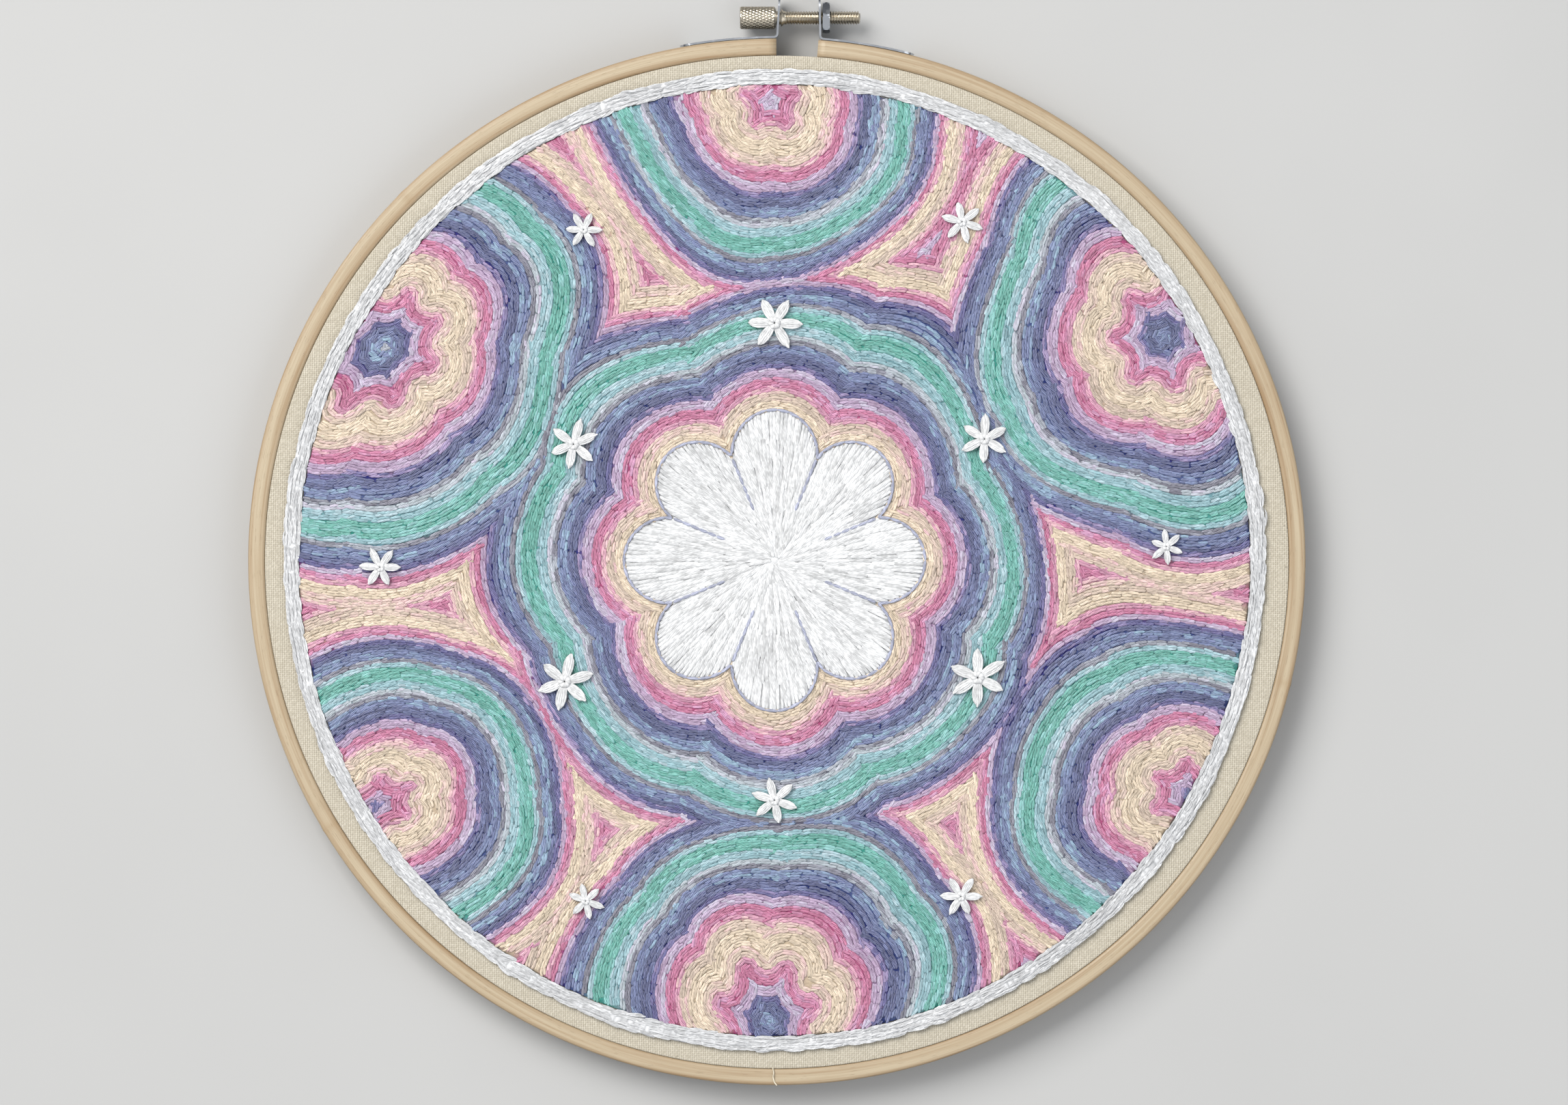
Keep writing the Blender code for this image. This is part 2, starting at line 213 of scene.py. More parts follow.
class Nodes:
    """Adds nodes to one node tree and joins their sockets."""

    def __init__(self, tree: bpy.types.NodeTree) -> None:
        """Keeps the tree that nodes go into."""
        self.tree = tree

    def put(self, socket: Socket, value: object) -> None:
        """Links a socket to another one, or sets its value.

        Args:
            socket: the input to fill.
            value: an output socket, a number or a colour.
        """
        if isinstance(value, Socket):
            self.tree.links.new(value, socket)
        else:
            socket.default_value = value

    def fill(self, node: bpy.types.Node, values: dict) -> None:
        """Links or sets several inputs of a node, by name or number."""
        for name, value in values.items():
            self.put(node.inputs[name], value)

    def add(self, kind: str, inputs: dict | None = None, output: int | str = 0, **settings) -> Socket:
        """Adds a node and returns one of its outputs.

        Args:
            kind: the node's type name.
            inputs: values or sockets by input name or number.
            output: the output to return.
            **settings: properties of the node.

        Returns:
            The chosen output socket.
        """
        node = self.tree.nodes.new(kind)
        for name, value in settings.items():
            setattr(node, name, value)
        self.fill(node, inputs or {})
        return node.outputs[output]

    def math(self, operation: str, a: object, b: object = 0.0, c: object = 0.0) -> Socket:
        """A Math node of up to three inputs."""
        return self.add("ShaderNodeMath", {0: a, 1: b, 2: c}, operation=operation)

    def scale(self, value: object, by: object) -> Socket:
        """A value times another."""
        return self.math("MULTIPLY", value, by)

    def mix(self, share: object, a: object, b: object, blend: str = "MIX") -> Socket:
        """A colour mix of a and b."""
        return self.add("ShaderNodeMix", {0: share, 6: a, 7: b}, 2, data_type="RGBA", blend_type=blend)

    def dim(self, colour: object, level: object) -> Socket:
        """A colour times a number."""
        return self.mix(1.0, colour, self.vector(level, level, level), "MULTIPLY")

    def between(
        self, value: object, low: float, high: float, to_low: float = 0.0, to_high: float = 1.0
    ) -> Socket:
        """Maps a value smoothly from one range to another."""
        span = {"Value": value, "From Min": low, "From Max": high, "To Min": to_low, "To Max": to_high}
        return self.add("ShaderNodeMapRange", span, interpolation_type="SMOOTHSTEP")

    def vector(self, x: object, y: object, z: object = 0.0) -> Socket:
        """A vector of three values."""
        return self.add("ShaderNodeCombineXYZ", {0: x, 1: y, 2: z})

    def noise(self, at: object, scale: float = 1.0, detail: float = 2.0, rough: float = 0.5) -> Socket:
        """Noise from 0 to 1 at a vector."""
        given = {"Vector": at, "Scale": scale, "Detail": detail, "Roughness": rough}
        return self.add("ShaderNodeTexNoise", given)

    def uv(self, name: str) -> tuple[Socket, Socket]:
        """The two parts of a UV map.

        Args:
            name: the map's name.

        Returns:
            The sockets of u and v.
        """
        read = self.add("ShaderNodeUVMap", uv_map=name)
        return self.split(read)[:2]

    def split(self, vector: Socket) -> tuple[Socket, Socket, Socket]:
        """The three parts of a vector."""
        return tuple(self.add("ShaderNodeSeparateXYZ", {0: vector}).node.outputs)

    def value(self, name: str) -> Socket:
        """A number that the mesh carries at its points."""
        return self.add("ShaderNodeAttribute", output="Fac", attribute_name=name)


class Effect:
    """A shader node group that several materials place with their own values."""

    OUTPUTS = {"Color": "NodeSocketColor", "Height": "NodeSocketFloat", "Roughness": "NodeSocketFloat"}

    def __init__(self, name: str, inputs: dict[str, object]) -> None:
        """Makes the group and its sockets.

        Args:
            name: the group's name.
            inputs: default number or colour by socket name.
        """
        self.group = bpy.data.node_groups.new(name, "ShaderNodeTree")
        for label, value in inputs.items():
            kind = "NodeSocketColor" if isinstance(value, tuple) else "NodeSocketFloat"
            socket = self.group.interface.new_socket(label, in_out="INPUT", socket_type=kind)
            socket.default_value = value
        for label, kind in self.OUTPUTS.items():
            self.group.interface.new_socket(label, in_out="OUTPUT", socket_type=kind)
        self.nodes = Nodes(self.group)
        self.given = self.group.nodes.new("NodeGroupInput").outputs
        self.result = self.group.nodes.new("NodeGroupOutput")

    def give(self, colour: Socket, height: Socket, roughness: Socket) -> "Effect":
        """Joins the group's outputs, and returns the effect."""
        self.nodes.fill(self.result, {"Color": colour, "Height": height, "Roughness": roughness})
        return self

    def place(self, nodes: Nodes, **values) -> bpy.types.bpy_prop_collection:
        """Puts the group into a material.

        Args:
            nodes: the material's nodes.
            **values: values or sockets by input name.

        Returns:
            The placed group's outputs.
        """
        node = nodes.tree.nodes.new("ShaderNodeGroup")
        node.node_tree = self.group
        nodes.fill(node, values)
        return node.outputs


def twist_effect() -> Effect:
    """Plied thread: ridges that wind round a strand, each ply a little lighter or darker.

    The ridge is the size of a sine of (plies around + lay * along), so its
    crests run as a helix; the crests are mixed towards white as a painted
    highlight and the grooves are darkened as painted shade. Shade lightens or
    darkens whole strands, and the lightest took up more of the second dye, as
    hand-dipped floss does. Tip is one where a strand dives under its
    neighbours, and darkens it there as painted shade.

    Returns:
        The effect.
    """
    effect = Effect(
        "thread_twist",
        {
            "Along": 0.0,
            "Around": 0.0,
            "Shade": 0.0,
            "Tip": 0.0,
            "Tone": (0.5, 0.5, 0.5, 1.0),
            "Dip": (0.5, 0.5, 0.5, 1.0),
            "Lay": 0.9,
            "Groove": 0.7,
        },
    )
    n, given = effect.nodes, effect.given
    winding = n.math("MULTIPLY_ADD", given["Along"], given["Lay"], given["Around"])
    ridge = n.math("ABSOLUTE", n.math("SINE", n.scale(winding, math.pi)))
    strand = n.scale(given["Shade"], 31.0)
    number = n.scale(n.math("FLOOR", winding), 3.7)
    ply = n.noise(n.vector(number, n.scale(given["Along"], 0.8), strand), 1.0, 1.0)
    fibre = n.noise(n.vector(n.scale(given["Along"], 2.4), n.scale(given["Around"], 4.0), strand))
    height = n.math("ADD", n.scale(ridge, 0.8), n.scale(fibre, 0.5))
    dyed = n.mix(n.between(given["Shade"], -0.2, 1.0, 0.0, 0.5), given["Tone"], given["Dip"])
    # Painted highlight and shade: crests mixed 16% towards white, grooves darkened to the groove level.
    worked = n.mix(n.between(height, 0.3, 1.0), n.dim(dyed, given["Groove"]), n.mix(0.16, dyed, PAINTED_HIGHLIGHT_WHITE))
    shade = n.math("MULTIPLY_ADD", given["Shade"], 0.5, 0.5)
    level = n.scale(n.between(shade, 0.0, 1.0, 0.80, 1.14), n.between(ply, 0.3, 0.7, 0.80, 1.20))
    # Painted shade: a strand is darkened towards its tips, where it dives under its neighbours.
    level = n.scale(level, n.between(given["Tip"], 0.1, 0.8, 1.0, 0.42))
    return effect.give(n.dim(worked, level), height, n.between(fibre, 0.3, 0.7, 0.34, 0.5))


def grain_effect() -> Effect:
    """Bamboo: long fibres along the ring, pale and tan streaks, short dark flecks, and painted shade that
    darkens the outer and inner edges.

    Returns:
        The effect.
    """
    effect = Effect(
        "bamboo_grain",
        {
            "Along": 0.0,
            "Across": 0.0,
            "Joint": 0.0,
            "Inner": 0.0,
            "Light": (0.7, 0.6, 0.4, 1.0),
            "Dark": (0.5, 0.4, 0.2, 1.0),
        },
    )
    n, given = effect.nodes, effect.given

    def streaks(along: float, across: float, detail: float) -> Socket:
        """Noise drawn out along the fibres, at so many features a metre each way."""
        at = n.vector(n.scale(given["Along"], along), n.scale(given["Across"], across))
        return n.noise(at, 1.0, detail)

    fleck_brown, joint_brown = (0.22, 0.15, 0.08, 1.0), (0.30, 0.20, 0.10, 1.0)
    fine = streaks(70.0, 3600.0, 3.0)
    broad = streaks(14.0, 750.0, 2.0)
    fleck = n.between(streaks(420.0, 5200.0, 1.0), 0.66, 0.74)
    # Painted shade: the outer edge and the inner edge, by the cloth, are darkened towards the dark tone.
    outer_weight = n.between(given["Inner"], 0.34, 0.12, 0.0, 0.3)
    edge_shade = n.math("ADD", outer_weight, n.between(given["Inner"], 0.55, 0.9, 0.0, 0.32))
    worn = n.math("ADD", n.between(fine, 0.35, 0.75, 0.0, 0.3), n.between(broad, 0.4, 0.7, 0.0, 0.42))
    wood = n.mix(n.math("MINIMUM", n.math("ADD", worn, edge_shade), 1.0), given["Light"], given["Dark"])
    flecked = n.mix(n.scale(fleck, 0.25), wood, fleck_brown)
    colour = n.mix(n.scale(given["Joint"], 0.3), flecked, joint_brown)
    height = n.math("MULTIPLY_ADD", given["Joint"], -0.5, n.math("MULTIPLY_ADD", fleck, -0.6, fine))
    return effect.give(colour, height, n.between(broad, 0.3, 0.7, 0.42, 0.58))


def brushed_effect() -> Effect:
    """Bright metal: fine drawn lines, and faint smudges that dull it.

    Returns:
        The effect.
    """
    effect = Effect(
        "bright_metal",
        {"Tone": (0.6, 0.6, 0.6, 1.0), "Lines": 1.0, "Dull": 0.22},
    )
    n, given = effect.nodes, effect.given
    place = n.add("ShaderNodeTexCoord", output="Object")
    across_lines, along_lines = 14000.0, 900.0
    x, y, z = n.split(place)
    lines = n.noise(n.vector(n.scale(x, along_lines), n.scale(y, along_lines), n.scale(z, across_lines)))
    smudge = n.noise(place, 620.0, 3.0)
    darker = n.mix(1.0, given["Tone"], (0.72, 0.70, 0.68, 1.0), "MULTIPLY")
    colour = n.mix(n.between(smudge, 0.5, 0.75, 0.0, 0.3), given["Tone"], darker)
    dull = n.math("ADD", given["Dull"], n.between(smudge, 0.4, 0.7, 0.0, 0.16))
    return effect.give(colour, n.scale(lines, given["Lines"]), dull)


def weave_effect() -> Effect:
    """Plain weave on a flat map in metres: two sets of threads, over and under in turn.

    With a and b the place in thread widths, a warp thread's crown is
    |sin(pi a)| ** 0.5, and it rises and dips as (1 + cos(pi (b + s))) / 2, where s
    is 0 or 1 in turn, so that neighbours dip one weft thread apart. The weft
    shows where the warp dips, and the higher of the two is seen.

    Returns:
        The effect.
    """
    effect = Effect(
        "plain_weave",
        {"U": 0.0, "V": 0.0, "Warp": 0.43 * MM, "Weft": 0.378 * MM, "Tone": (0.6, 0.6, 0.5, 1.0)},
    )
    n, given = effect.nodes, effect.given
    sway = n.math("MULTIPLY_ADD", n.noise(n.vector(given["U"], given["V"]), 60.0, 1.0), 0.9, -0.45)
    a = n.math("ADD", n.math("DIVIDE", given["U"], given["Warp"]), sway)
    b = n.math("ADD", n.math("DIVIDE", given["V"], given["Weft"]), sway)
    turn = n.math("ADD", b, n.math("ABSOLUTE", n.math("MODULO", n.math("FLOOR", a), 2.0)))
    rise = n.math("MULTIPLY_ADD", n.math("COSINE", n.scale(turn, math.pi)), 0.5, 0.5)

    def crown(wave: str, place: Socket, share: float, least: float) -> Socket:
        """A thread's crown across it, times how far it has risen: share * rise + least."""
        arch = n.math("POWER", n.math("ABSOLUTE", n.math(wave, n.scale(place, math.pi))), 0.5)
        return n.scale(arch, n.math("MULTIPLY_ADD", rise, share, least))

    height = n.math("MAXIMUM", crown("SINE", a, 0.7, 0.3), crown("COSINE", b, -0.6, 0.8))
    slub = n.noise(n.vector(n.scale(n.math("FLOOR", a), 7.3), n.scale(b, 0.6)), 1.0, 1.0)
    duller = n.mix(1.0, given["Tone"], (0.84, 0.83, 0.81, 1.0), "MULTIPLY")
    # Painted shade: low places between the threads are darkened.
    gap_shade = n.mix(1.0, given["Tone"], (0.56, 0.52, 0.45, 1.0), "MULTIPLY")
    thread = n.mix(n.between(slub, 0.35, 0.7), duller, given["Tone"])
    colour = n.mix(n.between(height, 0.16, 0.7), gap_shade, thread)
    return effect.give(colour, height, n.between(height, 0.0, 1.0, 0.95, 0.8))


class Effects:
    """The shared node groups, each built once."""

    def __init__(self) -> None:
        """Builds every group."""
        self.twist = twist_effect()
        self.grain = grain_effect()
        self.brushed = brushed_effect()
        self.weave = weave_effect()


@dataclass(frozen=True)
class Finish:
    """A named finish: colour, roughness and relief from nodes, on a Principled shader."""

    name: str

    def work(self, nodes: Nodes, effects: Effects) -> Mapping[str, object]:
        """Adds the finish's own nodes.

        Args:
            nodes: the material's nodes.
            effects: the shared node groups.

        Returns:
            Color, Roughness and, where there is relief, Height.
        """
        raise NotImplementedError

    def relief(self) -> tuple[float, float]:
        """How deep the relief is, in metres, and how much of it shows."""
        return 0.0, 1.0

    def inputs(self) -> dict[str, float]:
        """The shader's other inputs by name."""
        return {}

    def material(self, effects: Effects) -> Material:
        """The finish as a material.

        Args:
            effects: the shared node groups.

        Returns:
            The new material.
        """
        material = bpy.data.materials.new(self.name)
        material.use_nodes = True
        nodes, shader = Nodes(material.node_tree), material.node_tree.nodes["Principled BSDF"]
        made = self.work(nodes, effects)
        nodes.fill(shader, {"Base Color": made["Color"], "Roughness": made["Roughness"], **self.inputs()})
        depth, strength = self.relief()
        if depth:
            bump = {"Height": made["Height"], "Distance": depth, "Strength": strength}
            nodes.put(shader.inputs["Normal"], nodes.add("ShaderNodeBump", bump))
        return material


@dataclass(frozen=True)
class FlossFinish(Finish):
    """Stranded cotton with a soft sheen, read from the strands' own map."""

    colour: Colour
    dip: Colour | None = None
    lay: float = 0.8
    # groove: level that ply grooves are darkened to, as painted shade.
    groove: float = 0.64
    depth: float = 0.035 * MM
    sheen: float = 0.04

    def work(self, nodes: Nodes, effects: Effects) -> Mapping[str, object]:
        """Places the twist, with a second dye where there is one."""
        along, around = nodes.uv("strand")
        where = {"Along": along, "Around": around, "Shade": nodes.value("shade"), "Tip": nodes.value("tip")}
        tone, dip = linear(self.colour), linear(self.dip or self.colour)
        return effects.twist.place(nodes, **where, Tone=tone, Dip=dip, Lay=self.lay, Groove=self.groove)

    def relief(self) -> tuple[float, float]:
        """The plies' relief."""
        return self.depth, 1.0

    def inputs(self) -> dict[str, float]:
        """A low, soft shine."""
        return {"Sheen Weight": self.sheen, "Sheen Roughness": 0.35, "Specular IOR Level": 0.32}


@dataclass(frozen=True)
class UnderlayFinish(Finish):
    """The cloth and thread that show between stitches, coloured by its points; a dim below one darkens them
    as painted shade.
    """

    # dim: level the tones are darkened to; below one it is painted shade between the stitches.
    dim: float
    fuzz_scale: float = 2600.0
    depth: float = 0.1 * MM

    def work(self, nodes: Nodes, effects: Effects) -> Mapping[str, object]:
        """Lays fuzz over the points' own colours."""
        tone = nodes.add("ShaderNodeAttribute", output="Color", attribute_name="tone")
        fuzz = nodes.noise(nodes.add("ShaderNodeTexCoord", output="Object"), self.fuzz_scale)
        colour = nodes.dim(tone, nodes.between(fuzz, 0.3, 0.7, self.dim * 0.8, self.dim))
        return {"Color": colour, "Height": fuzz, "Roughness": nodes.between(fuzz, 0.3, 0.7, 0.8, 0.95)}

    def relief(self) -> tuple[float, float]:
        """The fuzz's relief."""
        return self.depth, 1.0


@dataclass(frozen=True)
class BambooFinish(Finish):
    """Bare bamboo with a satin rub, darkened at the outer and inner edges as painted shade."""

    light: Colour
    dark: Colour

    def work(self, nodes: Nodes, effects: Effects) -> Mapping[str, object]:
        """Places the grain on the ring's map."""
        along, across = nodes.uv("grain")
        joint, inner = nodes.value("joint"), nodes.value("inner")
        light, dark = linear(self.light), linear(self.dark)
        return effects.grain.place(
            nodes, Along=along, Across=across, Joint=joint, Inner=inner, Light=light, Dark=dark
        )

    def relief(self) -> tuple[float, float]:
        """Low ridges of the fibres."""
        return 0.05 * MM, 0.8

    def inputs(self) -> dict[str, float]:
        """A thin satin coat."""
        return {"Coat Weight": 0.08, "Coat Roughness": 0.4}


@dataclass(frozen=True)
class CottonFinish(Finish):
    """Unbleached cotton in plain weave, on a flat map in metres."""

    colour: Colour

    def work(self, nodes: Nodes, effects: Effects) -> Mapping[str, object]:
        """Places the weave on the flat map."""
        u, v = nodes.uv("flat")
        return effects.weave.place(nodes, U=u, V=v, Tone=linear(self.colour))

    def relief(self) -> tuple[float, float]:
        """The threads' crowns."""
        return 0.10 * MM, 1.0

    def inputs(self) -> dict[str, float]:
        """A little fuzz."""
        return {"Sheen Weight": 0.2, "Sheen Roughness": 0.5}


@dataclass(frozen=True)
class MetalFinish(Finish):
    """Polished or plated steel with fine drawn lines."""

    colour: Colour
    lines: float = 1.0
    dull: float = 0.2

    def work(self, nodes: Nodes, effects: Effects) -> Mapping[str, object]:
        """Places the drawn lines and smudges."""
        return effects.brushed.place(nodes, Tone=linear(self.colour), Lines=self.lines, Dull=self.dull)

    def relief(self) -> tuple[float, float]:
        """Hair-fine lines."""
        return 0.01 * MM, 0.6

    def inputs(self) -> dict[str, float]:
        """Bare metal."""
        return {"Metallic": 1.0}


@dataclass(frozen=True)
class FloorFinish(Finish):
    """A matt surface with a faint mottle of two tones."""

    tones: tuple[Colour, Colour]
    scale: float = 9.0
    roughness: float = 0.7

    def work(self, nodes: Nodes, effects: Effects) -> Mapping[str, object]:
        """Mixes the tones by noise."""
        mottle = nodes.noise(nodes.add("ShaderNodeTexCoord", output="Object"), self.scale, 4.0)
        colour = nodes.mix(nodes.between(mottle, 0.3, 0.7), *map(linear, self.tones))
        return {"Color": colour, "Roughness": self.roughness}


@dataclass
class Surface:
    """Points, faces of one or more sizes, a map at the faces' corners and values at the points.

    Normals, where given, take the place of the faces' own; a zero keeps those.
    """

    points: Array
    faces: list[Array]
    corners: list[Array]
    values: dict[str, Array] = field(default_factory=dict)
    normals: Array | None = None

    @staticmethod
    def join(parts: Iterable["Surface"]) -> "Surface":
        """Several surfaces as one.

        Args:
            parts: the surfaces, which carry the same values.

        Returns:
            One surface with all their faces.
        """
        parts = list(parts)
        starts = np.cumsum([0] + [len(part.points) for part in parts])
        normals = [np.zeros_like(part.points) if part.normals is None else part.normals for part in parts]
        return Surface(
            np.concatenate([part.points for part in parts]),
            [faces + start for part, start in zip(parts, starts) for faces in part.faces],
            [corner for part in parts for corner in part.corners],
            {name: np.concatenate([part.values[name] for part in parts]) for name in parts[0].values},
            np.concatenate(normals),
        )

    def carry(self, **levels: float) -> "Surface":
        """Gives all points the same level of each value.

        Args:
            **levels: level by the name of the value.

        Returns:
            The same surface.
        """
        for name, level in levels.items():
            self.values[name] = np.full(len(self.points), level)
        return self

    def make(self, name: str, material: Material, map_name: str) -> Piece:
        """Puts the surface into a smooth-shaded object at the origin.

        Args:
            name: the object's name.
            material: its finish.
            map_name: the name of its UV map.

        Returns:
            The new object.
        """
        mesh = bpy.data.meshes.new(name)
        sizes = np.concatenate([np.full(len(faces), faces.shape[1]) for faces in self.faces])
        loops = np.concatenate([faces.ravel() for faces in self.faces])
        mesh.vertices.add(len(self.points))
        mesh.vertices.foreach_set("co", self.points.astype(np.float32).ravel())
        mesh.loops.add(len(loops))
        mesh.loops.foreach_set("vertex_index", loops.astype(np.int32))
        mesh.polygons.add(len(sizes))
        mesh.polygons.foreach_set("loop_start", (np.cumsum(sizes) - sizes).astype(np.int32))
        mesh.update(calc_edges=True)
        flat = mesh.uv_layers.new(name=map_name)
        corners = np.concatenate([corner.reshape(-1, 2) for corner in self.corners])
        flat.data.foreach_set("uv", corners.astype(np.float32).ravel())
        for label, value in self.values.items():
            kind, part = ("FLOAT_COLOR", "color") if value.ndim == 2 else ("FLOAT", "value")
            made = mesh.attributes.new(label, kind, "POINT")
            made.data.foreach_set(part, value.astype(np.float32).ravel())
        mesh.shade_smooth()
        mesh.materials.append(material)
        mesh.validate()
        if self.normals is not None:
            mesh.normals_split_custom_set_from_vertices(self.normals.tolist())
        piece = bpy.data.objects.new(name, mesh)
        bpy.context.scene.collection.objects.link(piece)
        return piece


def grid(
    points: Array, u: Array, v: Array, wrap_rows: bool = False, wrap_columns: bool = True, caps: bool = False
) -> Surface:
    """A surface on a grid of rows and columns of points.

    A face's normal is the column direction crossed with the row direction. A
    wrapped side closes on itself, and its map has one more value.

    Args:
        points: rows x columns x 3 positions.
        u: map value of each row.
        v: map value of each column.
        wrap_rows: whether the last row joins the first.
        wrap_columns: whether the last column joins the first.
        caps: whether the first and last row are each filled with one face.

    Returns:
        The surface.
    """
    rows, columns = points.shape[:2]
    r, c = np.meshgrid(
        np.arange(rows if wrap_rows else rows - 1),
        np.arange(columns if wrap_columns else columns - 1),
        indexing="ij",
    )
    at_row = np.stack([r, r, r + 1, r + 1], -1).reshape(-1, 4)
    at_column = np.stack([c, c + 1, c + 1, c], -1).reshape(-1, 4)
    faces = [at_row % rows * columns + at_column % columns]
    corners = [np.stack([u[at_row], v[at_column]], -1)]
    if caps:
        ends = np.stack([np.arange(columns)[::-1], np.arange(columns) + (rows - 1) * columns])
        faces.append(ends)
        corners.append(np.stack([np.broadcast_to(u[[0, -1]][:, None], ends.shape), v[ends % columns]], -1))
    return Surface(points.reshape(-1, 3), faces, corners)


def lengths(path: Array) -> Array:
    """Distance along each path to each of its points.

    Args:
        path: ... x points x coordinates.

    Returns:
        ... x points distances, from 0.
    """
    steps = np.linalg.norm(np.diff(path, axis=-2), axis=-1)
    return np.concatenate([np.zeros_like(steps[..., :1]), np.cumsum(steps, axis=-1)], axis=-1)


def strands(
    paths: Array, wide: Array, high: Array, sides: int, shade: Array, lift: float = 1.0, lean: float = 0.35
) -> Surface:
    """Many strands of thread at once, each a closed spindle with pointed ends.

    Round each inner station of a path lies a ring of points: the path's point
    plus half the width times the cosine across it, and half the height times the
    sine upwards. The ring's first side lies flat on top. The map counts the plies
    that fit round the thickest place, so that thread of any size has plies alike.
    Normals lean up by the lift, since light that passes through thread evens out
    its shading: to a point's own direction comes +Z * lift * (sine + lean) where
    that is above nothing.

    Args:
        paths: strands x stations x 3, with the tips as first and last station.
        wide: strands x stations half widths.
        high: strands x stations half heights.
        sides: points round each ring.
        shade: one value for each strand, from -1 to 1.
        lift: how far the normals lean up.
        lean: how far down the sides they still do.

    Returns:
        One surface, mapped by millimetres along and plies around.
    """
    count, stations, _ = paths.shape
    rings = stations - 2
    along = np.gradient(paths, axis=1)
    across = unit(np.stack([-along[..., 1], along[..., 0], np.zeros((count, stations))], -1), TINY)
    turn = math.pi / 2 - math.pi / sides + math.tau * np.arange(sides) / sides
    ring = paths[:, 1:-1, None] + across[:, 1:-1, None] * (wide[:, 1:-1, None] * np.cos(turn))[..., None]
    ring[..., 2] += high[:, 1:-1, None] * np.sin(turn)
    points = np.concatenate([paths[:, :1], ring.reshape(count, -1, 3), paths[:, -1:]], axis=1)
    away = across[:, 1:-1, None] * np.cos(turn)[:, None] + np.zeros_like(ring)
    away[..., 2] += np.sin(turn) + lift * np.maximum(np.sin(turn) + lean, 0)
    ends = unit(along[:, [0, -1]] * np.array([[-1.0], [1.0]]), TINY) + [0, 0, lift]
    normals = np.concatenate([ends[:, :1], away.reshape(count, -1, 3), ends[:, 1:]], axis=1)
    normals = unit(normals.reshape(-1, 3), TINY)

    each = rings * sides + 2
    j, k = np.meshgrid(np.arange(rings - 1), np.arange(sides), indexing="ij")
    after = (k + 1) % sides
    here, onwards = j * sides, (j + 1) * sides
    quads = 1 + np.stack([here + k, here + after, onwards + after, onwards + k], -1)
    side = np.arange(sides)
    last = 1 + (rings - 1) * sides
    first_tip = np.stack([np.zeros_like(side), 1 + (side + 1) % sides, 1 + side], -1)
    last_tip = np.stack([np.full_like(side, each - 1), last + side, last + (side + 1) % sides], -1)
    tips = np.concatenate([first_tip, last_tip])
    offset = np.arange(count)[:, None, None] * each
    faces = [(quads.reshape(-1, 4) + offset).reshape(-1, 4), (tips + offset).reshape(-1, 3)]

    plies = max(2, round(math.tau * float(wide.max(axis=1).mean()) / PLY_WIDTH))
    run = lengths(paths) / MM
    quad_u = run[:, 1:-1][:, np.stack([j, j, j + 1, j + 1], -1)].reshape(-1, 4)
    quad_v = np.tile(np.stack([k, k + 1, k + 1, k], -1).reshape(-1, 4) / sides, (count, 1))
    tip_u = np.concatenate([run[:, None, at].repeat(sides, 1) for at in ([0, 1, 1], [-1, -2, -2])], 1)
    tip_v = np.stack([side + 0.5, side + 1, side], -1) / sides
    tip_v = np.tile(np.concatenate([tip_v, tip_v[:, [0, 2, 1]]]), (count, 1))
    corners = [np.stack([quad_u, quad_v * plies], -1), np.stack([tip_u.reshape(-1, 3), tip_v * plies], -1)]
    # tip marks the strand's ends, which the thread's finish darkens as painted shade.
    tip = np.zeros((count, each))
    tip[:, [0, -1]] = 1.0
    values = {"shade": np.repeat(shade, each), "tip": tip.ravel()}
    return Surface(points.reshape(-1, 3), faces, corners, values, normals)


def resample(path: Array, step: float, phase: float = 0.0, slips: Array | None = None) -> Array:
    """A path's points again, evenly spaced.

    Args:
        path: points x coordinates; a closed path has its first point last as well.
        step: wanted distance between points.
        phase: on a closed path, how far in the first point lies, as a share of a step.
        slips: small shares of a step, taken in turn, by which points leave their place.

    Returns:
        The new points, with the first one last as well on a closed path.
    """
    run = lengths(path)
    count = max(2, round(run[-1] / step))
    number = np.arange(count + 1.0)
    if slips is not None:
        number += slips[np.arange(count + 1) % count % len(slips)]
    at = (number + phase) * run[-1] / count
    around = run[-1] if phase else None
    return np.stack([np.interp(at, run, path[:, i], period=around) for i in range(path.shape[1])], -1)


def rounded_box(
    wide: float, high: float, corner: float, per_corner: int = 3, per_side: int = 3
) -> Array:
    """A rectangle with round corners, clockwise from the middle of its base.

    Each corner is a quarter circle, and each side is cut into equal steps.

    Args:
        wide: full width.
        high: full height.
        corner: radius of the corners.
        per_corner: steps in a corner.
        per_side: steps in a side.

    Returns:
        Points x 2, centred on the width and standing on zero height.
    """
    swing = np.arange(per_corner + 1) / per_corner * math.pi / 2
    centres = [(corner - wide / 2, corner, 1.5), (corner - wide / 2, high - corner, 1.0)]
    centres += [(wide / 2 - corner, high - corner, 0.5), (wide / 2 - corner, corner, 0.0)]
    arcs = []
    for x, y, start in centres:
        angle = start * math.pi - swing
        arcs.append(np.stack([x + corner * np.cos(angle), y + corner * np.sin(angle)], -1))
    outline = [np.array([[0.0, 0.0]])]
    for arc, following in zip(arcs, arcs[1:] + [outline[0]]):
        share = np.arange(1, per_side)[:, None] / per_side
        outline += [arc, arc[-1] + (following[0] - arc[-1]) * share]
    return np.concatenate(outline)


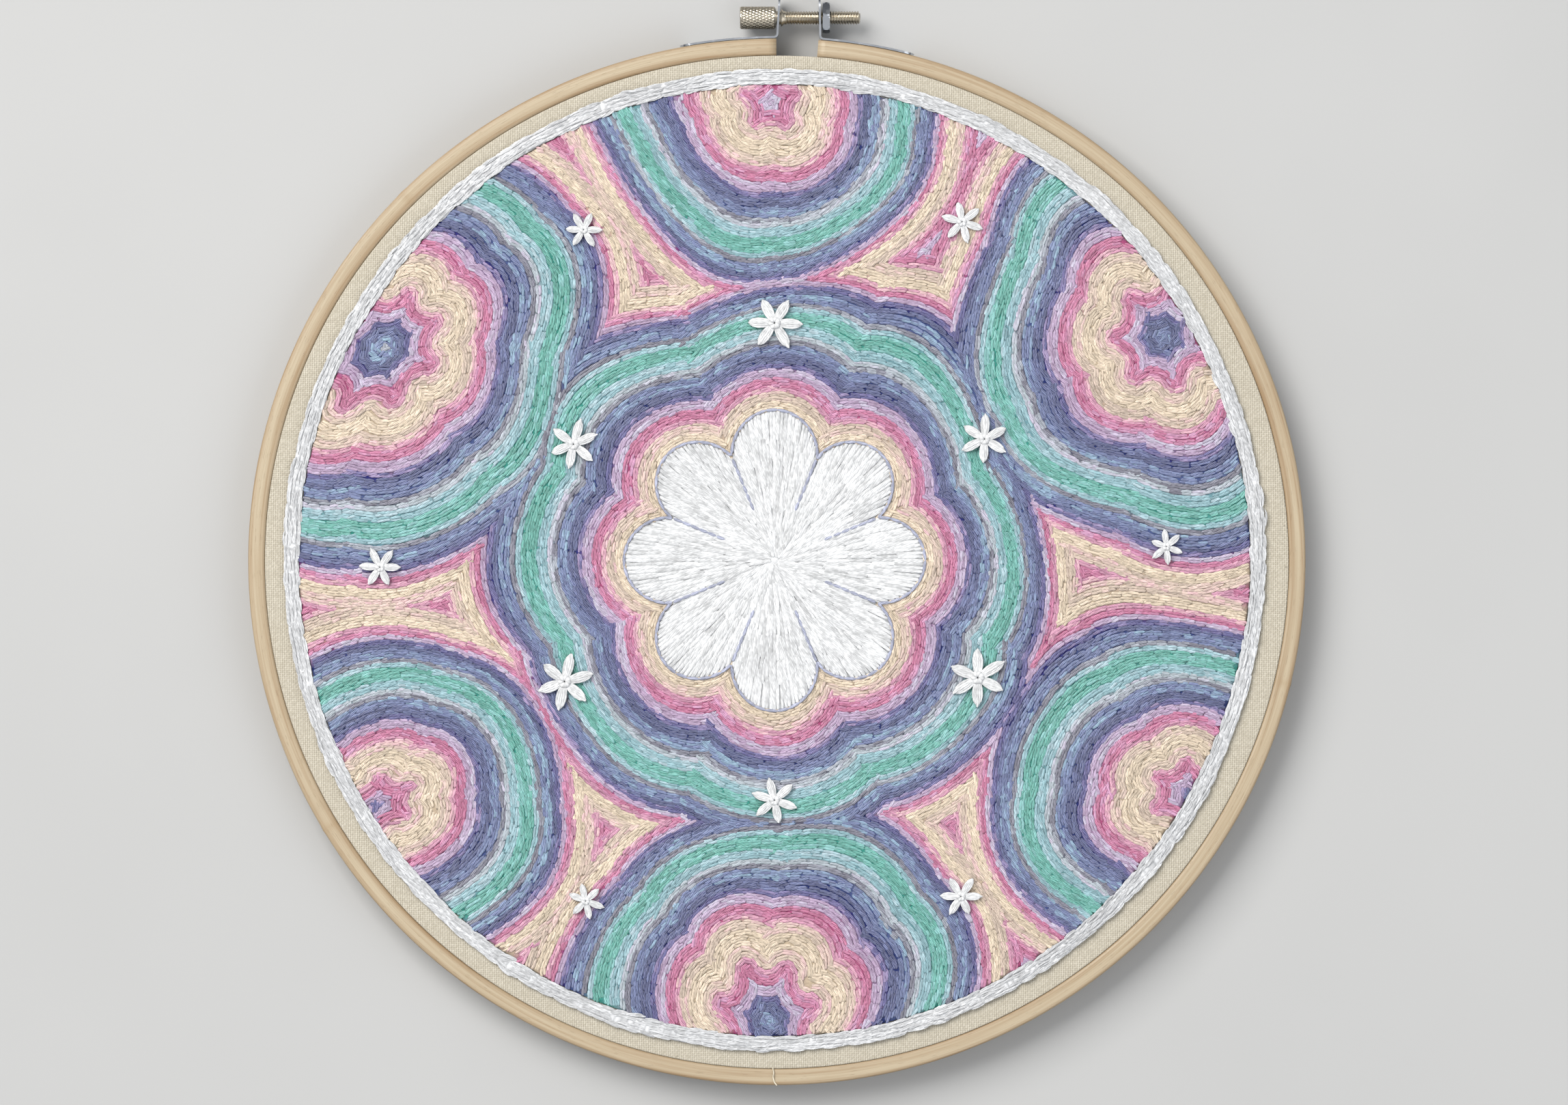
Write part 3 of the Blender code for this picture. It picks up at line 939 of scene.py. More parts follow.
@dataclass
class HoopShape:
    """The oval that every ring follows, drawn in a little beside the split."""

    centre_y: float
    half_width: float
    half_height: float = 101.7 * MM
    drawn_in: float = 0.3 * MM
    drawn_in_angle: float = math.radians(98)
    drawn_in_spread: float = math.radians(30)
    screw_y: float = 105.7 * MM
    screw_z: float = 4.0 * MM

    @classmethod
    def from_frame(cls) -> "HoopShape":
        """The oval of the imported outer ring."""
        low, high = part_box("outer_hoop")
        return cls(centre_y=low.y + cls.half_height, half_width=(high.x - low.x) / 2)

    def radius(self, angle: Array) -> Array:
        """Outer radius at an angle: mean plus oval, less the part drawn in.

        Args:
            angle: bearings in radians.

        Returns:
            One radius for each.
        """
        angle = np.mod(angle, math.tau)
        mean = (self.half_width + self.half_height) / 2
        oval = (self.half_width - self.half_height) / 2 * np.cos(2 * angle)
        drawn = self.drawn_in * np.exp(-(((angle - self.drawn_in_angle) / self.drawn_in_spread) ** 2))
        return mean + oval - drawn

    def at(self, angle: Array, inset: Array, height: Array) -> Array:
        """Points at an angle, inset from the outer face, at a height."""
        return raised(polar(self.radius(angle) - inset, angle) + [0, self.centre_y], height)

    def round_screw(self, along: Array, radius: Array, angle: Array) -> Array:
        """Points round the screw's axis: places along +X, and angles from +Y towards +Z.

        Args:
            along: places along the axis.
            radius: distances from it.
            angle: angles round it.

        Returns:
            The points, with all three broadcast together.
        """
        y = self.screw_y + self.centre_y + radius * np.cos(angle)
        z = self.screw_z + radius * np.sin(angle)
        return np.stack(np.broadcast_arrays(along, y, z), -1)

    def angle_at(self, x: float) -> float:
        """Bearing near the top where the outer face has a given x."""
        return math.acos(x / self.half_height)


@dataclass
class BambooRing:
    """One bent strip of bamboo, split at the top or closed."""

    shape: HoopShape
    name: str
    node: str
    near: float
    thick: float
    depth: float
    corner: float
    joints: tuple[float, ...]
    split: tuple[float, float] | None = None
    uneven: float = 0.0
    ripple: float = 0.02 * MM
    top_ripple: float = 0.05 * MM
    swell: float = 0.08 * MM
    top_swell: float = 0.03 * MM
    joint_width: float = math.radians(0.45)
    stations: int = 400
    seed: int = 3

    def angles(self) -> Array:
        """Bearings of the ring's sections, closer together at the bamboo's joints.

        Returns:
            The bearings in order, in radians.
        """
        start, stop = 0.0, math.tau
        if self.split:
            start, stop = (self.shape.angle_at(x) for x in self.split)
            stop += math.tau
        even = np.linspace(start, stop, self.stations, endpoint=self.split is not None)
        close = np.linspace(-1.0, 1.0, 13) * math.radians(2.2)
        joints = [start + np.mod(math.radians(joint) - start, math.tau) + close for joint in self.joints]
        extra = np.concatenate(joints)
        return np.unique(np.concatenate([even, extra[(extra > start) & (extra < stop - 1e-4)]]))

    def swelling(self, angle: Array) -> Array:
        """A narrow bell at each joint of the bamboo.

        Args:
            angle: bearings in radians.

        Returns:
            Shares of the swelling, one at a joint.
        """
        total = np.zeros_like(angle)
        for joint in self.joints:
            away = np.mod(angle - math.radians(joint) + math.pi, math.tau) - math.pi
            total += np.exp(-((away / self.joint_width) ** 2))
        return total

    def build(self, material: Material) -> Piece:
        """Sweeps a rounded rectangle round the hoop, with small waves in it.

        Args:
            material: the ring's finish.

        Returns:
            The ring.
        """
        angle = self.angles()
        profile = rounded_box(self.thick, self.depth, self.corner)
        outward, height = profile[:, 0] / self.thick, profile[:, 1]
        joint = self.swelling(angle)
        wave = np.random.default_rng(self.seed).uniform(0, math.tau, 4)
        ripple = sum(np.sin(k * angle + w) / k for k, w in zip((3, 7, 16, 31), wave))
        outer_weight = np.clip(outward + 0.5, 0, 1)
        swell = self.uneven * np.sin(angle) + self.ripple * ripple + self.swell * joint
        inset = self.near + self.thick * (0.5 - outward) - swell[:, None] * outer_weight
        top = np.clip(height / self.depth, 0, 1)
        lifted = self.top_ripple * np.roll(ripple, self.stations // 10) + self.top_swell * joint
        points = self.shape.at(angle[:, None], inset, height + top * lifted[:, None])
        closed = self.split is None
        run = np.append(angle, math.tau) if closed else angle
        around = lengths(np.concatenate([profile, profile[:1]]))
        made = grid(points, run * self.shape.half_width, around, wrap_rows=closed, caps=not closed)
        made.values["joint"] = np.repeat(joint, len(profile))
        made.values["inner"] = np.tile(0.5 - outward, len(angle))
        piece = made.make(self.name, material, "grain")
        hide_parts(self.node)
        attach(piece, HOOP_BODY)
        return piece


@dataclass
class GroundCloth:
    """Cotton over the inner ring, turned down between the rings, as one thin closed sheet.

    The reaches are radii in millimetres on the flat part. Near the border, waves
    that run outwards pucker the cloth.
    """

    shape: HoopShape
    outside: float = 3.27 * MM
    front: float = 7.9 * MM
    thick: float = 0.45 * MM
    turn: float = 0.3 * MM
    end: float = 1.0 * MM
    reaches: tuple[float, ...] = (6.0, 30.0, 60.0, 85.0, 90.5, 92.5, 94.0, 95.2, 95.9, 96.4)
    pucker: float = 0.07 * MM
    pucker_at: float = 94.8 * MM
    pucker_width: float = 1.6 * MM
    waves: tuple[int, ...] = (46, 61, 83, 29)
    stations: int = 240

    def profile(self) -> tuple[Array, Array]:
        """Distance along the cloth and its shape, from near the middle to the cut edge.

        Returns:
            Inset and height of the upper face, then of the lower face.
        """
        flat = self.shape.half_height - np.array(self.reaches) * MM
        swing = np.linspace(0, math.pi / 2, 7)
        bend = self.outside + self.turn * (1 - np.sin(swing)), self.front - self.turn * (1 - np.cos(swing))
        drop = np.linspace(bend[1][-1], self.end, 6)[1:]
        inset = np.concatenate([flat, bend[0], np.full(5, self.outside)])
        height = np.concatenate([np.full(len(flat), self.front), bend[1], drop])
        over = np.stack([inset, height], -1)
        along = unit(np.gradient(over, axis=0))
        return over, over + self.thick * np.stack([-along[:, 1], along[:, 0]], -1)

    def build(self, material: Material) -> Piece:
        """Turns the profile round the hoop and lays the weave's flat map over it.

        Args:
            material: the cloth's finish.

        Returns:
            The cloth.
        """
        over, under = self.profile()
        section = np.concatenate([over, under[::-1]])
        angle = circle(self.stations)
        points = self.shape.at(angle[:, None], section[:, 0], section[:, 1])
        rng = Seed.CLOTH.draws()
        rays = sum(np.sin(k * angle + rng.uniform(0, math.tau)) for k in self.waves) / len(self.waves)
        from_border = (self.shape.half_height - section[:, 0] - self.pucker_at) / self.pucker_width
        points[..., 2] += self.pucker * rays[:, None] * np.exp(-(from_border**2))
        bearing = np.append(angle, math.tau)
        made = grid(points, bearing, np.zeros(len(section)), wrap_rows=True, wrap_columns=False)
        cut = lengths(over) + self.reaches[0] * MM
        reach = np.concatenate([cut, cut[::-1]])
        made.corners[0] = polar(reach[made.faces[0] % len(section)], made.corners[0][..., 0])
        upper = np.arange(self.stations) * len(section)
        lower = (upper + len(section) - 1)[::-1]
        for ring in (upper, lower):
            made.faces.append(ring[None])
            made.corners.append((points.reshape(-1, 3)[ring, :2] - [0, self.shape.centre_y])[None])
        piece = made.make("cotton_ground", material, "flat")
        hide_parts("ground_cloth")
        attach(piece, HOOP_BODY)
        return piece


@dataclass(frozen=True)
class Motif:
    """A scalloped round that rows of stitches echo, inside and out.

    The radius at a bearing is the full radius, less a notch between scallops:
    radius * (1 - notch * (1 - |cos(petals * bearing / 2)| ** fullness)). A small
    sharpness under the root keeps each notch round enough to turn a thread in.
    """

    x: float
    y: float
    size: float
    petals: int
    notch: float
    turn: float = 0.0
    fullness: float = 0.6
    sharpness: float = 0.02
    filled: bool = True

    def radius(self, bearing: Array) -> Array:
        """Distance from the motif's centre to its edge at a bearing.

        Args:
            bearing: bearings in radians.

        Returns:
            One distance for each.
        """
        wave = np.cos(self.petals * (bearing - self.turn) / 2)
        swell = (wave**2 + self.sharpness**2) ** (self.fullness / 2)
        return self.size * (1 - self.notch * (1 - swell))

    def outline(self, count: int, level: float = 0.0) -> Array:
        """The edge, moved outwards along its normals.

        The points crowd into the notches: within a scallop, a share t of the points
        reaches the share t + sin(2 pi t) / (2 pi) of its width.

        Args:
            count: how many points.
            level: how far outwards, or inwards if negative.

        Returns:
            Points x 2, anticlockwise, without the first one again.
        """
        share = np.arange(count) / count * self.petals
        bearing = self.turn + (share + np.sin(math.tau * share) / math.tau) / self.petals * math.tau
        points = polar(self.radius(bearing), bearing) + [self.x, self.y]
        along = unit(np.roll(points, -1, 0) - np.roll(points, 1, 0))
        return points + level * np.stack([along[:, 1], -along[:, 0]], -1)

    def holds(self, points: Array) -> Array:
        """Which points lie inside the edge."""
        away = points - [self.x, self.y]
        return np.hypot(*away.T) < self.radius(np.arctan2(away[:, 1], away[:, 0]))


class Fan(NamedTuple):
    """One scalloped fan near the field's rim."""

    distance: float
    bearing: float
    size: float
    petals: int


@dataclass
class BandLayout:
    """Rows of chain stitch that echo a flower and six fans, bent a little so that they wave."""

    centre: tuple[float, float]
    radius: float = 92.2 * MM
    row: float = 0.95 * MM
    link: float = 1.9 * MM
    outline_points: int = 720
    outer_rows: int = 42
    overlap: float = 0.46 * MM
    uneven: float = 0.16
    drift: float = 0.13
    flower: Motif = Motif(0.0, 0.0, 29.0 * MM, 8, 0.30, filled=False)
    fans: tuple[Fan, ...] = (
        Fan(88 * MM, 30, 15 * MM, 7),
        Fan(90 * MM, 92, 9 * MM, 5),
        Fan(86 * MM, 152, 16 * MM, 8),
        Fan(92 * MM, 212, 10 * MM, 6),
        Fan(87 * MM, 270, 15 * MM, 7),
        Fan(90 * MM, 330, 11 * MM, 6),
    )
    fan_notch: float = 0.22
    waves: float = 2.0 * MM
    still: float = 30.0 * MM
    fade: float = 25.0 * MM
    batch: int = 8000

    def __post_init__(self) -> None:
        """Makes the motifs, their outlines and the order of tones."""
        self.motifs = [self.flower]
        for fan in self.fans:
            bearing = math.radians(fan.bearing)
            x, y = fan.distance * math.cos(bearing), fan.distance * math.sin(bearing)
            self.motifs.append(Motif(x, y, fan.size, fan.petals, self.fan_notch, bearing))
        self.order = [tone for tone, rows in BAND_ROWS for _ in range(rows)]
        self.outlines = [motif.outline(self.outline_points) for motif in self.motifs]

    def sway(self, points: Array) -> Array:
        """How far the pattern is bent at each point: a few long sine waves, still at the flower.

        Args:
            points: points x 2.

        Returns:
            One step for each point.
        """
        x, y = points[:, 0] / MM, points[:, 1] / MM
        across = np.sin(y / 17 + 0.6) + 0.6 * np.sin((x + y) / 11 + 2.0) + 0.5 * np.sin(x / 23 - 1)
        along = np.sin(x / 15 + 1.9) + 0.6 * np.sin((x - y) / 12 + 0.4) + 0.5 * np.sin(y / 21 + 2)
        fade = np.clip((np.hypot(*points.T) - self.still) / self.fade, 0, 1)
        return self.waves * fade[:, None] * np.stack([across, along], -1)

    def unbend(self, points: Array) -> Array:
        """The places on the cloth that the bend brings to the given ones, by repeated correction.

        Args:
            points: points x 2 in the straight pattern.

        Returns:
            Points x 2 on the cloth.
        """
        found = points
        for _ in range(8):
            found = points - self.sway(found)
        return found

    def level(self, points: Array) -> Array:
        """Signed distance from straight-pattern points to the nearest motif's edge.

        Args:
            points: points x 2 in the straight pattern.

        Returns:
            The distance, negative inside a motif.
        """
        nearest = np.full(len(points), np.inf)
        for motif, outline in zip(self.motifs, self.outlines):
            for start in range(0, len(points), self.batch):
                batch = slice(start, start + self.batch)
                some = points[batch]
                square = (some**2).sum(1)[:, None] + (outline**2).sum(1) - 2 * some @ outline.T
                away = np.sqrt(np.maximum(square.min(1), 0))
                nearest[batch] = np.minimum(nearest[batch], np.where(motif.holds(some), -away, away))
        return nearest

    def tone_number(self, level: Array) -> Array:
        """Index of the tone at a level, counted from a motif's edge both ways."""
        row = np.floor(level / self.row).astype(int)
        return np.where(row < 0, -row, row) % len(self.order)

    def trim(self, points: Array) -> Array:
        """Points, with those past the field's edge brought in to it."""
        return points * np.minimum(1, self.radius / np.hypot(*points.T))[:, None]

    def stitches(self) -> tuple[Array, Array, Array]:
        """Every link of every row.

        Returns:
            Start points, end points and tone numbers, in the field's own plane.
        """
        rng = Seed.ROWS.draws()
        starts, ends, levels = [], [], []
        for motif in self.motifs:
            inner = int(motif.size / self.row) if motif.filled else 0
            for row in range(-inner, self.outer_rows):
                level = (row + 0.5) * self.row
                ring = motif.outline(self.outline_points, level)
                step = self.link * rng.uniform(0.9, 1.1)
                slips = rng.uniform(-self.uneven, self.uneven, 397)
                ring = resample(np.concatenate([ring, ring[:1]]), step, rng.uniform(0.1, 0.9), slips)
                starts.append(ring[:-1])
                ends.append(ring[1:])
                levels.append(np.full(len(ring) - 1, level))
        start, end, level = (np.concatenate(part) for part in (starts, ends, levels))
        drift = np.convolve(rng.normal(0, 1, len(level) + 4), np.full(5, 5**-0.5), "valid")
        middle = (start + end) / 2
        near = np.hypot(*middle.T) < self.radius + 8 * self.waves
        start, end, level, drift = (part[near] for part in (start, end, level, drift))
        kept = np.abs(self.level(middle[near]) - level) < self.overlap
        start, end = self.unbend(start[kept]), self.unbend(end[kept])
        worked = level[kept] + self.drift * self.row * drift[kept]
        fits = np.hypot(*((start + end) / 2).T) < self.radius
        start, end = self.trim(start[fits]), self.trim(end[fits])
        return start + self.centre, end + self.centre, self.tone_number(worked[fits])


class Station(NamedTuple):
    """One place along half a chain link, in shares of the link's length and row's half width."""

    along: float
    side: float
    rise: float
    wide: float
    high: float


LINK_STATIONS = (
    Station(-0.24, 0.20, 0.50, 0.00, 0.00),
    Station(0.08, 0.46, 0.76, 0.58, 0.22),
    Station(0.54, 0.56, 0.80, 0.68, 0.24),
    Station(0.98, 0.50, 0.68, 0.62, 0.22),
    Station(1.34, 0.22, 0.36, 0.00, 0.00),
)


@dataclass
class ChainStitch:
    """Chain stitch of one thickness: each link is two legs that part and meet again.

    A leg is one strand in the fine field, and several side by side in heavy thread.
    """

    half_row: float
    base: float
    crest: float
    threads: int = 1
    sides: int = 3
    loose: float = 0.08
    astray: float = 0.05
    lift: float = 1.0
    stations: tuple[Station, ...] = LINK_STATIONS

    def work(self, start: Array, end: Array, rng: np.random.Generator) -> Surface:
        """Makes both legs of every link.

        A strand's point is the start, plus a share of the link, plus a side step
        that bulges in the middle, at a height that sinks under the next link's start.

        Args:
            start: links x 2 start points.
            end: links x 2 end points.
            rng: source of the small differences between links.

        Returns:
            One surface of all strands.
        """
        count = len(start)
        at, aside, rise, broad, tall = np.array(self.stations).T
        run = end - start
        length = np.linalg.norm(run, axis=1, keepdims=True)
        turn = rng.normal(0, self.astray, count)
        run = np.stack([run[:, 0] - turn * run[:, 1], run[:, 1] + turn * run[:, 0]], -1)
        across = np.stack([-run[:, 1], run[:, 0]], -1) / length
        begin = start + across * rng.normal(0, self.astray * self.half_row, (count, 1))
        paths, wide, high, shade = [], [], [], []
        runs = np.convolve(rng.normal(0, 0.75, count + 8), np.ones(9) / 9, "valid")
        thin = self.threads**-0.65
        for side in (-1, 1):
            slip = rng.normal(0, 1.8 * self.loose, (count, 1))
            for lane in np.arange(self.threads) - (self.threads - 1) / 2:
                fat = thin * (1 + rng.normal(0, self.loose, (count, 1)))
                spread = aside * (1 + 0.72 * thin * lane) * (1 + rng.normal(0, self.loose, (count, 1)))
                step = side * self.half_row * spread
                along = at + slip + rng.normal(0, 0.4 * self.loose * self.threads, (count, 1))
                plan = begin[:, None] + run[:, None] * along[..., None] + across[:, None] * step[..., None]
                height = self.base + self.crest * rise * (1 + rng.normal(0, self.loose, (count, 1)))
                paths.append(raised(plan, height))
                wide.append(self.half_row * broad * fat)
                high.append(self.half_row * tall * fat)
                shade.append(np.clip(runs + rng.normal(0, 0.34, count), -1, 1))
        joined = (np.concatenate(part) for part in (paths, wide, high))
        return strands(*joined, self.sides, np.concatenate(shade), self.lift)


def stitch_backs(
    start: Array, end: Array, rng: np.random.Generator, wide: float = 0.36 * MM, high: float = 0.2 * MM
) -> Surface:
    """The short straight stitches that the work leaves on the cloth's back.

    Args:
        start: stitches x 2 start points.
        end: stitches x 2 end points.
        rng: source of the small differences between stitches.
        wide: half width in the middle.
        high: half height in the middle.

    Returns:
        One surface of all of them.
    """
    count = len(start)
    plan = np.stack([start, (start + end) / 2 + rng.normal(0, 0.05 * MM, (count, 2)), end], 1)
    height = CLOTH_BACK - np.array([-0.05, 0.12, -0.05]) * MM * rng.uniform(0.7, 1.2, (count, 1))
    body = np.array([0, 1, 0]) * rng.uniform(0.85, 1.15, (count, 1))
    return strands(raised(plan, height), wide * body, high * body, 3, rng.uniform(-0.4, 0.6, count), lift=0.0)


@dataclass
class StitchedField:
    """The dense field: an underlay in the bands' tones, dimmed as painted shade, and one piece of links for
    each tone.
    """

    layout: BandLayout
    effects: Effects
    base: float = 8.05 * MM
    crest: float = 0.62 * MM
    under: float = 0.36 * MM
    sunk: float = 0.1 * MM
    rings: int = 84
    spokes: int = 300

    def palette(self) -> Array:
        """The linear colour of each tone in the bands' order."""
        return np.array([linear(tone.value) for tone in self.layout.order])

    def backs(self, start: Array, end: Array, number: Array) -> Piece:
        """What the links leave on the cloth's back.

        Args:
            start: links x 2 start points.
            end: links x 2 end points.
            number: each link's place in the bands' order.

        Returns:
            The stitches' backs in their tones.
        """
        made = stitch_backs(start, end, Seed.BACKS.draws())
        made.values["tone"] = np.repeat(self.palette()[number], len(made.points) // len(start), axis=0)
        piece = made.make("stitch_backs", UnderlayFinish("back_thread", 1.0).material(self.effects), "strand")
        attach(piece, HOOP_BODY)
        return piece

    def underlay(self) -> Piece:
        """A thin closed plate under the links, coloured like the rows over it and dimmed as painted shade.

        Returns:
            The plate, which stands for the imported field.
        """
        reach = np.linspace(0.02, 1.0, self.rings) * self.layout.radius
        bearing = circle(self.spokes)
        plan = polar(reach[:, None], bearing)
        flat = plan.reshape(-1, 2)
        level = self.layout.level(flat + self.layout.sway(flat))
        tone = self.palette()[self.layout.tone_number(level)].reshape(self.rings, self.spokes, 4)
        top = raised(plan, self.base + self.under)
        bottom = top[-1:] - [0, 0, self.under + self.sunk]
        points = np.concatenate([top, bottom]) + [*self.layout.centre, 0]
        outwards = np.linspace(0, 1, self.rings + 1)
        made = grid(points[::-1], outwards, np.append(bearing, math.tau), caps=True)
        made.values["tone"] = np.concatenate([tone, tone[-1:]])[::-1].reshape(-1, 4)
        # 0.74 darkens the underlay as painted shade in the gaps between links.
        finish = UnderlayFinish("shade_dimmed_underlay", 0.74).material(self.effects)
        piece = made.make("stitch_underlay", finish, "plan")
        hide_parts("stitched_field")
        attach(piece, HOOP_BODY)
        return piece

    def build(self) -> None:
        """Works every row, one piece for each tone of floss."""
        self.underlay()
        start, end, number = self.layout.stitches()
        self.backs(start, end, number)
        rng = Seed.LINKS.draws()
        stitch = ChainStitch(self.layout.row / 2, self.base, self.crest)
        order = np.array([tone.name for tone in self.layout.order])[number]
        for tone in Tone:
            chosen = order == tone.name
            name = f"floss_{tone.name.lower()}"
            made = stitch.work(start[chosen], end[chosen], rng)
            finish = FlossFinish(name, tone.value, SECOND_DYE[tone].value)
            piece = made.make(name, finish.material(self.effects), "strand")
            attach(piece, HOOP_BODY)
            LOG.info("%s: %d links", name, int(chosen.sum()))


@dataclass
class Border:
    """Two rows of heavy white chain stitch round the field, on a low ring of the same thread."""

    layout: BandLayout
    finish: Material
    outer: float = 95.3 * MM
    width: float = 3.05 * MM
    link: float = 2.5 * MM
    base: float = 8.0 * MM
    crest: float = 0.85 * MM
    ring_rise: float = 0.31 * MM
    ring_half: tuple[float, float] = (1.375 * MM, 0.32 * MM)
    wander: tuple[float, float] = (0.10 * MM, 0.07 * MM)

    def ring(self) -> Surface:
        """The low ring under the rows: an ellipse turned round the field.

        Returns:
            The ring.
        """
        angle, swing = circle(240), circle(12)
        reach = self.outer - self.width / 2 - self.ring_half[0] * np.cos(swing)
        rise = self.base + self.ring_rise + self.ring_half[1] * np.sin(swing)
        points = raised(polar(reach, angle[:, None]), rise) + [*self.layout.centre, 0]
        run = np.append(angle, math.tau) * self.outer / MM
        return grid(points, run, np.arange(13) / 12, wrap_rows=True).carry(shade=0.2)

    def build(self) -> Piece:
        """Works both rows and joins them to their ring.

        Returns:
            The border.
        """
        rng = Seed.BORDER.draws()
        row = self.width / 2
        parts = [self.ring()]
        stitch = ChainStitch(row / 2, self.base, self.crest, threads=4, loose=0.12, lift=3.0)
        for lane in (0.5, 1.5):
            angle = np.arange(721) / 720 * math.tau
            broad, fine = self.wander
            wander = broad * np.sin(9 * angle + lane) + fine * np.sin(23 * angle + 2 * lane)
            path = polar(self.outer - lane * row + wander, angle)
            path = resample(path, self.link * rng.uniform(0.96, 1.04)) + self.layout.centre
            parts.append(stitch.work(path[:-1], path[1:], rng))
        piece = Surface.join(parts).make("white_border", self.finish, "strand")
        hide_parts("border_braid")
        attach(piece, HOOP_BODY)
        return piece


class FillZone(NamedTuple):
    """One round of the flower's long-and-short fill, in shares of its radius."""

    start: float
    end: float
    lines: int


@dataclass
class CentreFlower:
    """The padded white flower: radiating long and short stitches with a grey-blue outline."""

    layout: BandLayout
    effects: Effects
    white: Material
    edge: float = 8.46 * MM
    crown: float = 0.45 * MM
    bottom: float = 8.0 * MM
    pad_under: float = 0.02 * MM
    fill_half: tuple[float, float] = (0.50 * MM, 0.20 * MM)
    fill_rise: tuple[float, float] = (-0.01 * MM, 0.10 * MM)
    fill_uneven: float = 0.03 * MM
    fill_dive: float = 0.12 * MM
    line_half: tuple[float, float] = (0.30 * MM, 0.24 * MM)
    line_rise: tuple[float, float] = (0.10 * MM, 0.12 * MM)
    line_dive: float = 0.1 * MM
    line_out: float = 0.26 * MM
    line_link: float = 2.3 * MM
    zones: tuple[FillZone, ...] = (
        FillZone(0.03, 0.22, 44),
        FillZone(0.16, 0.38, 84),
        FillZone(0.31, 0.55, 128),
        FillZone(0.48, 0.71, 168),
        FillZone(0.64, 0.86, 204),
        FillZone(0.78, 1.01, 236),
    )

    def height(self, share: Array) -> Array:
        """Height of the padding at a share of the radius: a low crown that falls at the edge."""
        return self.edge + self.crown * (1 - np.minimum(share, 1) ** 4)

    def pad(self) -> Surface:
        """The closed padding under the fill.

        Returns:
            The padding.
        """
        share = np.linspace(0.02, 1.008, 14)
        plan = share[:, None, None] * self.layout.flower.outline(384)
        top = raised(plan, (self.height(share) - self.pad_under)[:, None])
        points = np.concatenate([top, raised(plan[-1:], self.bottom)]) + [*self.layout.centre, 0]
        return grid(points[::-1], np.arange(15.0), np.arange(385) / 384, caps=True).carry(shade=0.0)

    def fill(self, rng: np.random.Generator) -> Surface:
        """Stitches that run outwards in overlapping rounds of uneven length.

        Args:
            rng: source of the small differences between stitches.

        Returns:
            The stitches, with their backs on the cloth's back.
        """
        starts, ends, bearings = [], [], []
        for zone in self.zones:
            place = np.arange(zone.lines) + rng.uniform(-0.18, 0.18, zone.lines)
            bearings.append(place / zone.lines * math.tau)
            depth = zone.end - zone.start
            starts.append(zone.start + depth * rng.uniform(-0.22, 0.16, zone.lines))
            loose = 0.0 if zone is self.zones[-1] else 0.2
            ends.append(zone.end + depth * rng.uniform(-loose, loose, zone.lines))
        start, end, bearing = (np.concatenate(part) for part in (starts, ends, bearings))
        start, end = np.clip(start, 0.02, 1), np.clip(end, 0, 1.01)
        step = np.array([0.0, 0.08, 0.35, 0.65, 0.92, 1.0])
        share = start[:, None] + (end - start)[:, None] * step
        reach = share * self.layout.flower.radius(bearing)[:, None]
        bend = bearing[:, None] + (0.03 * np.sin(4 * bearing) * (1 - share.T)).T
        crest = self.fill_rise[0] + self.fill_rise[1] * np.sin(np.pi * step)
        height = self.height(share) + crest + rng.normal(0, self.fill_uneven, (len(start), 1))
        height[:, [0, -1]] -= self.fill_dive
        paths = raised(polar(reach, bend), height) + [*self.layout.centre, 0]
        fat = rng.normal(1, 0.1, (len(start), 1))
        wide = self.fill_half[0] * np.array([0, 0.75, 1, 1, 0.75, 0]) * fat
        high = self.fill_half[1] * np.array([0, 0.8, 1, 1, 0.8, 0]) * fat
        front = strands(paths, wide, high, 5, rng.uniform(-0.4, 1, len(start)))
        return Surface.join([front, stitch_backs(paths[:, 0, :2], paths[:, -1, :2], rng)])

    def outline(self, rng: np.random.Generator) -> Surface:
        """Back stitch round the edge and a short way in between the petals.

        Args:
            rng: source of the small differences between stitches.

        Returns:
            The stitches.
        """
        flower = self.layout.flower
        edge = flower.outline(720, self.line_out)
        lines = [resample(np.concatenate([edge, edge[:1]]), self.line_link)]
        for petal in range(flower.petals):
            bearing = (petal + 0.5) / flower.petals * math.tau
            notch = flower.radius(np.array([bearing]))[0]
            lines.append(polar(np.linspace(notch, 0.36 * flower.size, 7), bearing))
        start = np.concatenate([line[:-1] for line in lines])
        end = np.concatenate([line[1:] for line in lines])
        step = np.array([-0.06, 0.04, 0.3, 0.7, 0.96, 1.06])
        plan = start[:, None] + (end - start)[:, None] * step[:, None]
        share = np.hypot(*np.moveaxis(plan, -1, 0)) / flower.size
        crest = self.line_rise[0] + self.line_rise[1] * np.sin(np.pi * np.clip(step, 0, 1))
        height = self.height(share) + crest
        height[:, [0, -1]] -= self.line_dive
        paths = raised(plan, height) + [*self.layout.centre, 0]
        size = np.array([0, 0.7, 1, 1, 0.7, 0]) * np.ones((len(start), 1))
        wide, high = (half * size for half in self.line_half)
        return strands(paths, wide, high, 6, rng.uniform(-0.5, 0.5, len(start)))

    def build(self) -> None:
        """Makes the fill and its outline."""
        rng = Seed.FLOWER.draws()
        filled = Surface.join([self.pad(), self.fill(rng)]).make("white_flower", self.white, "strand")
        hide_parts("centre_flower")
        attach(filled, HOOP_BODY)
        finish = FlossFinish("outline_floss", (150, 155, 180)).material(self.effects)
        line = self.outline(rng).make("flower_outline", finish, "strand")
        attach(line, HOOP_BODY)


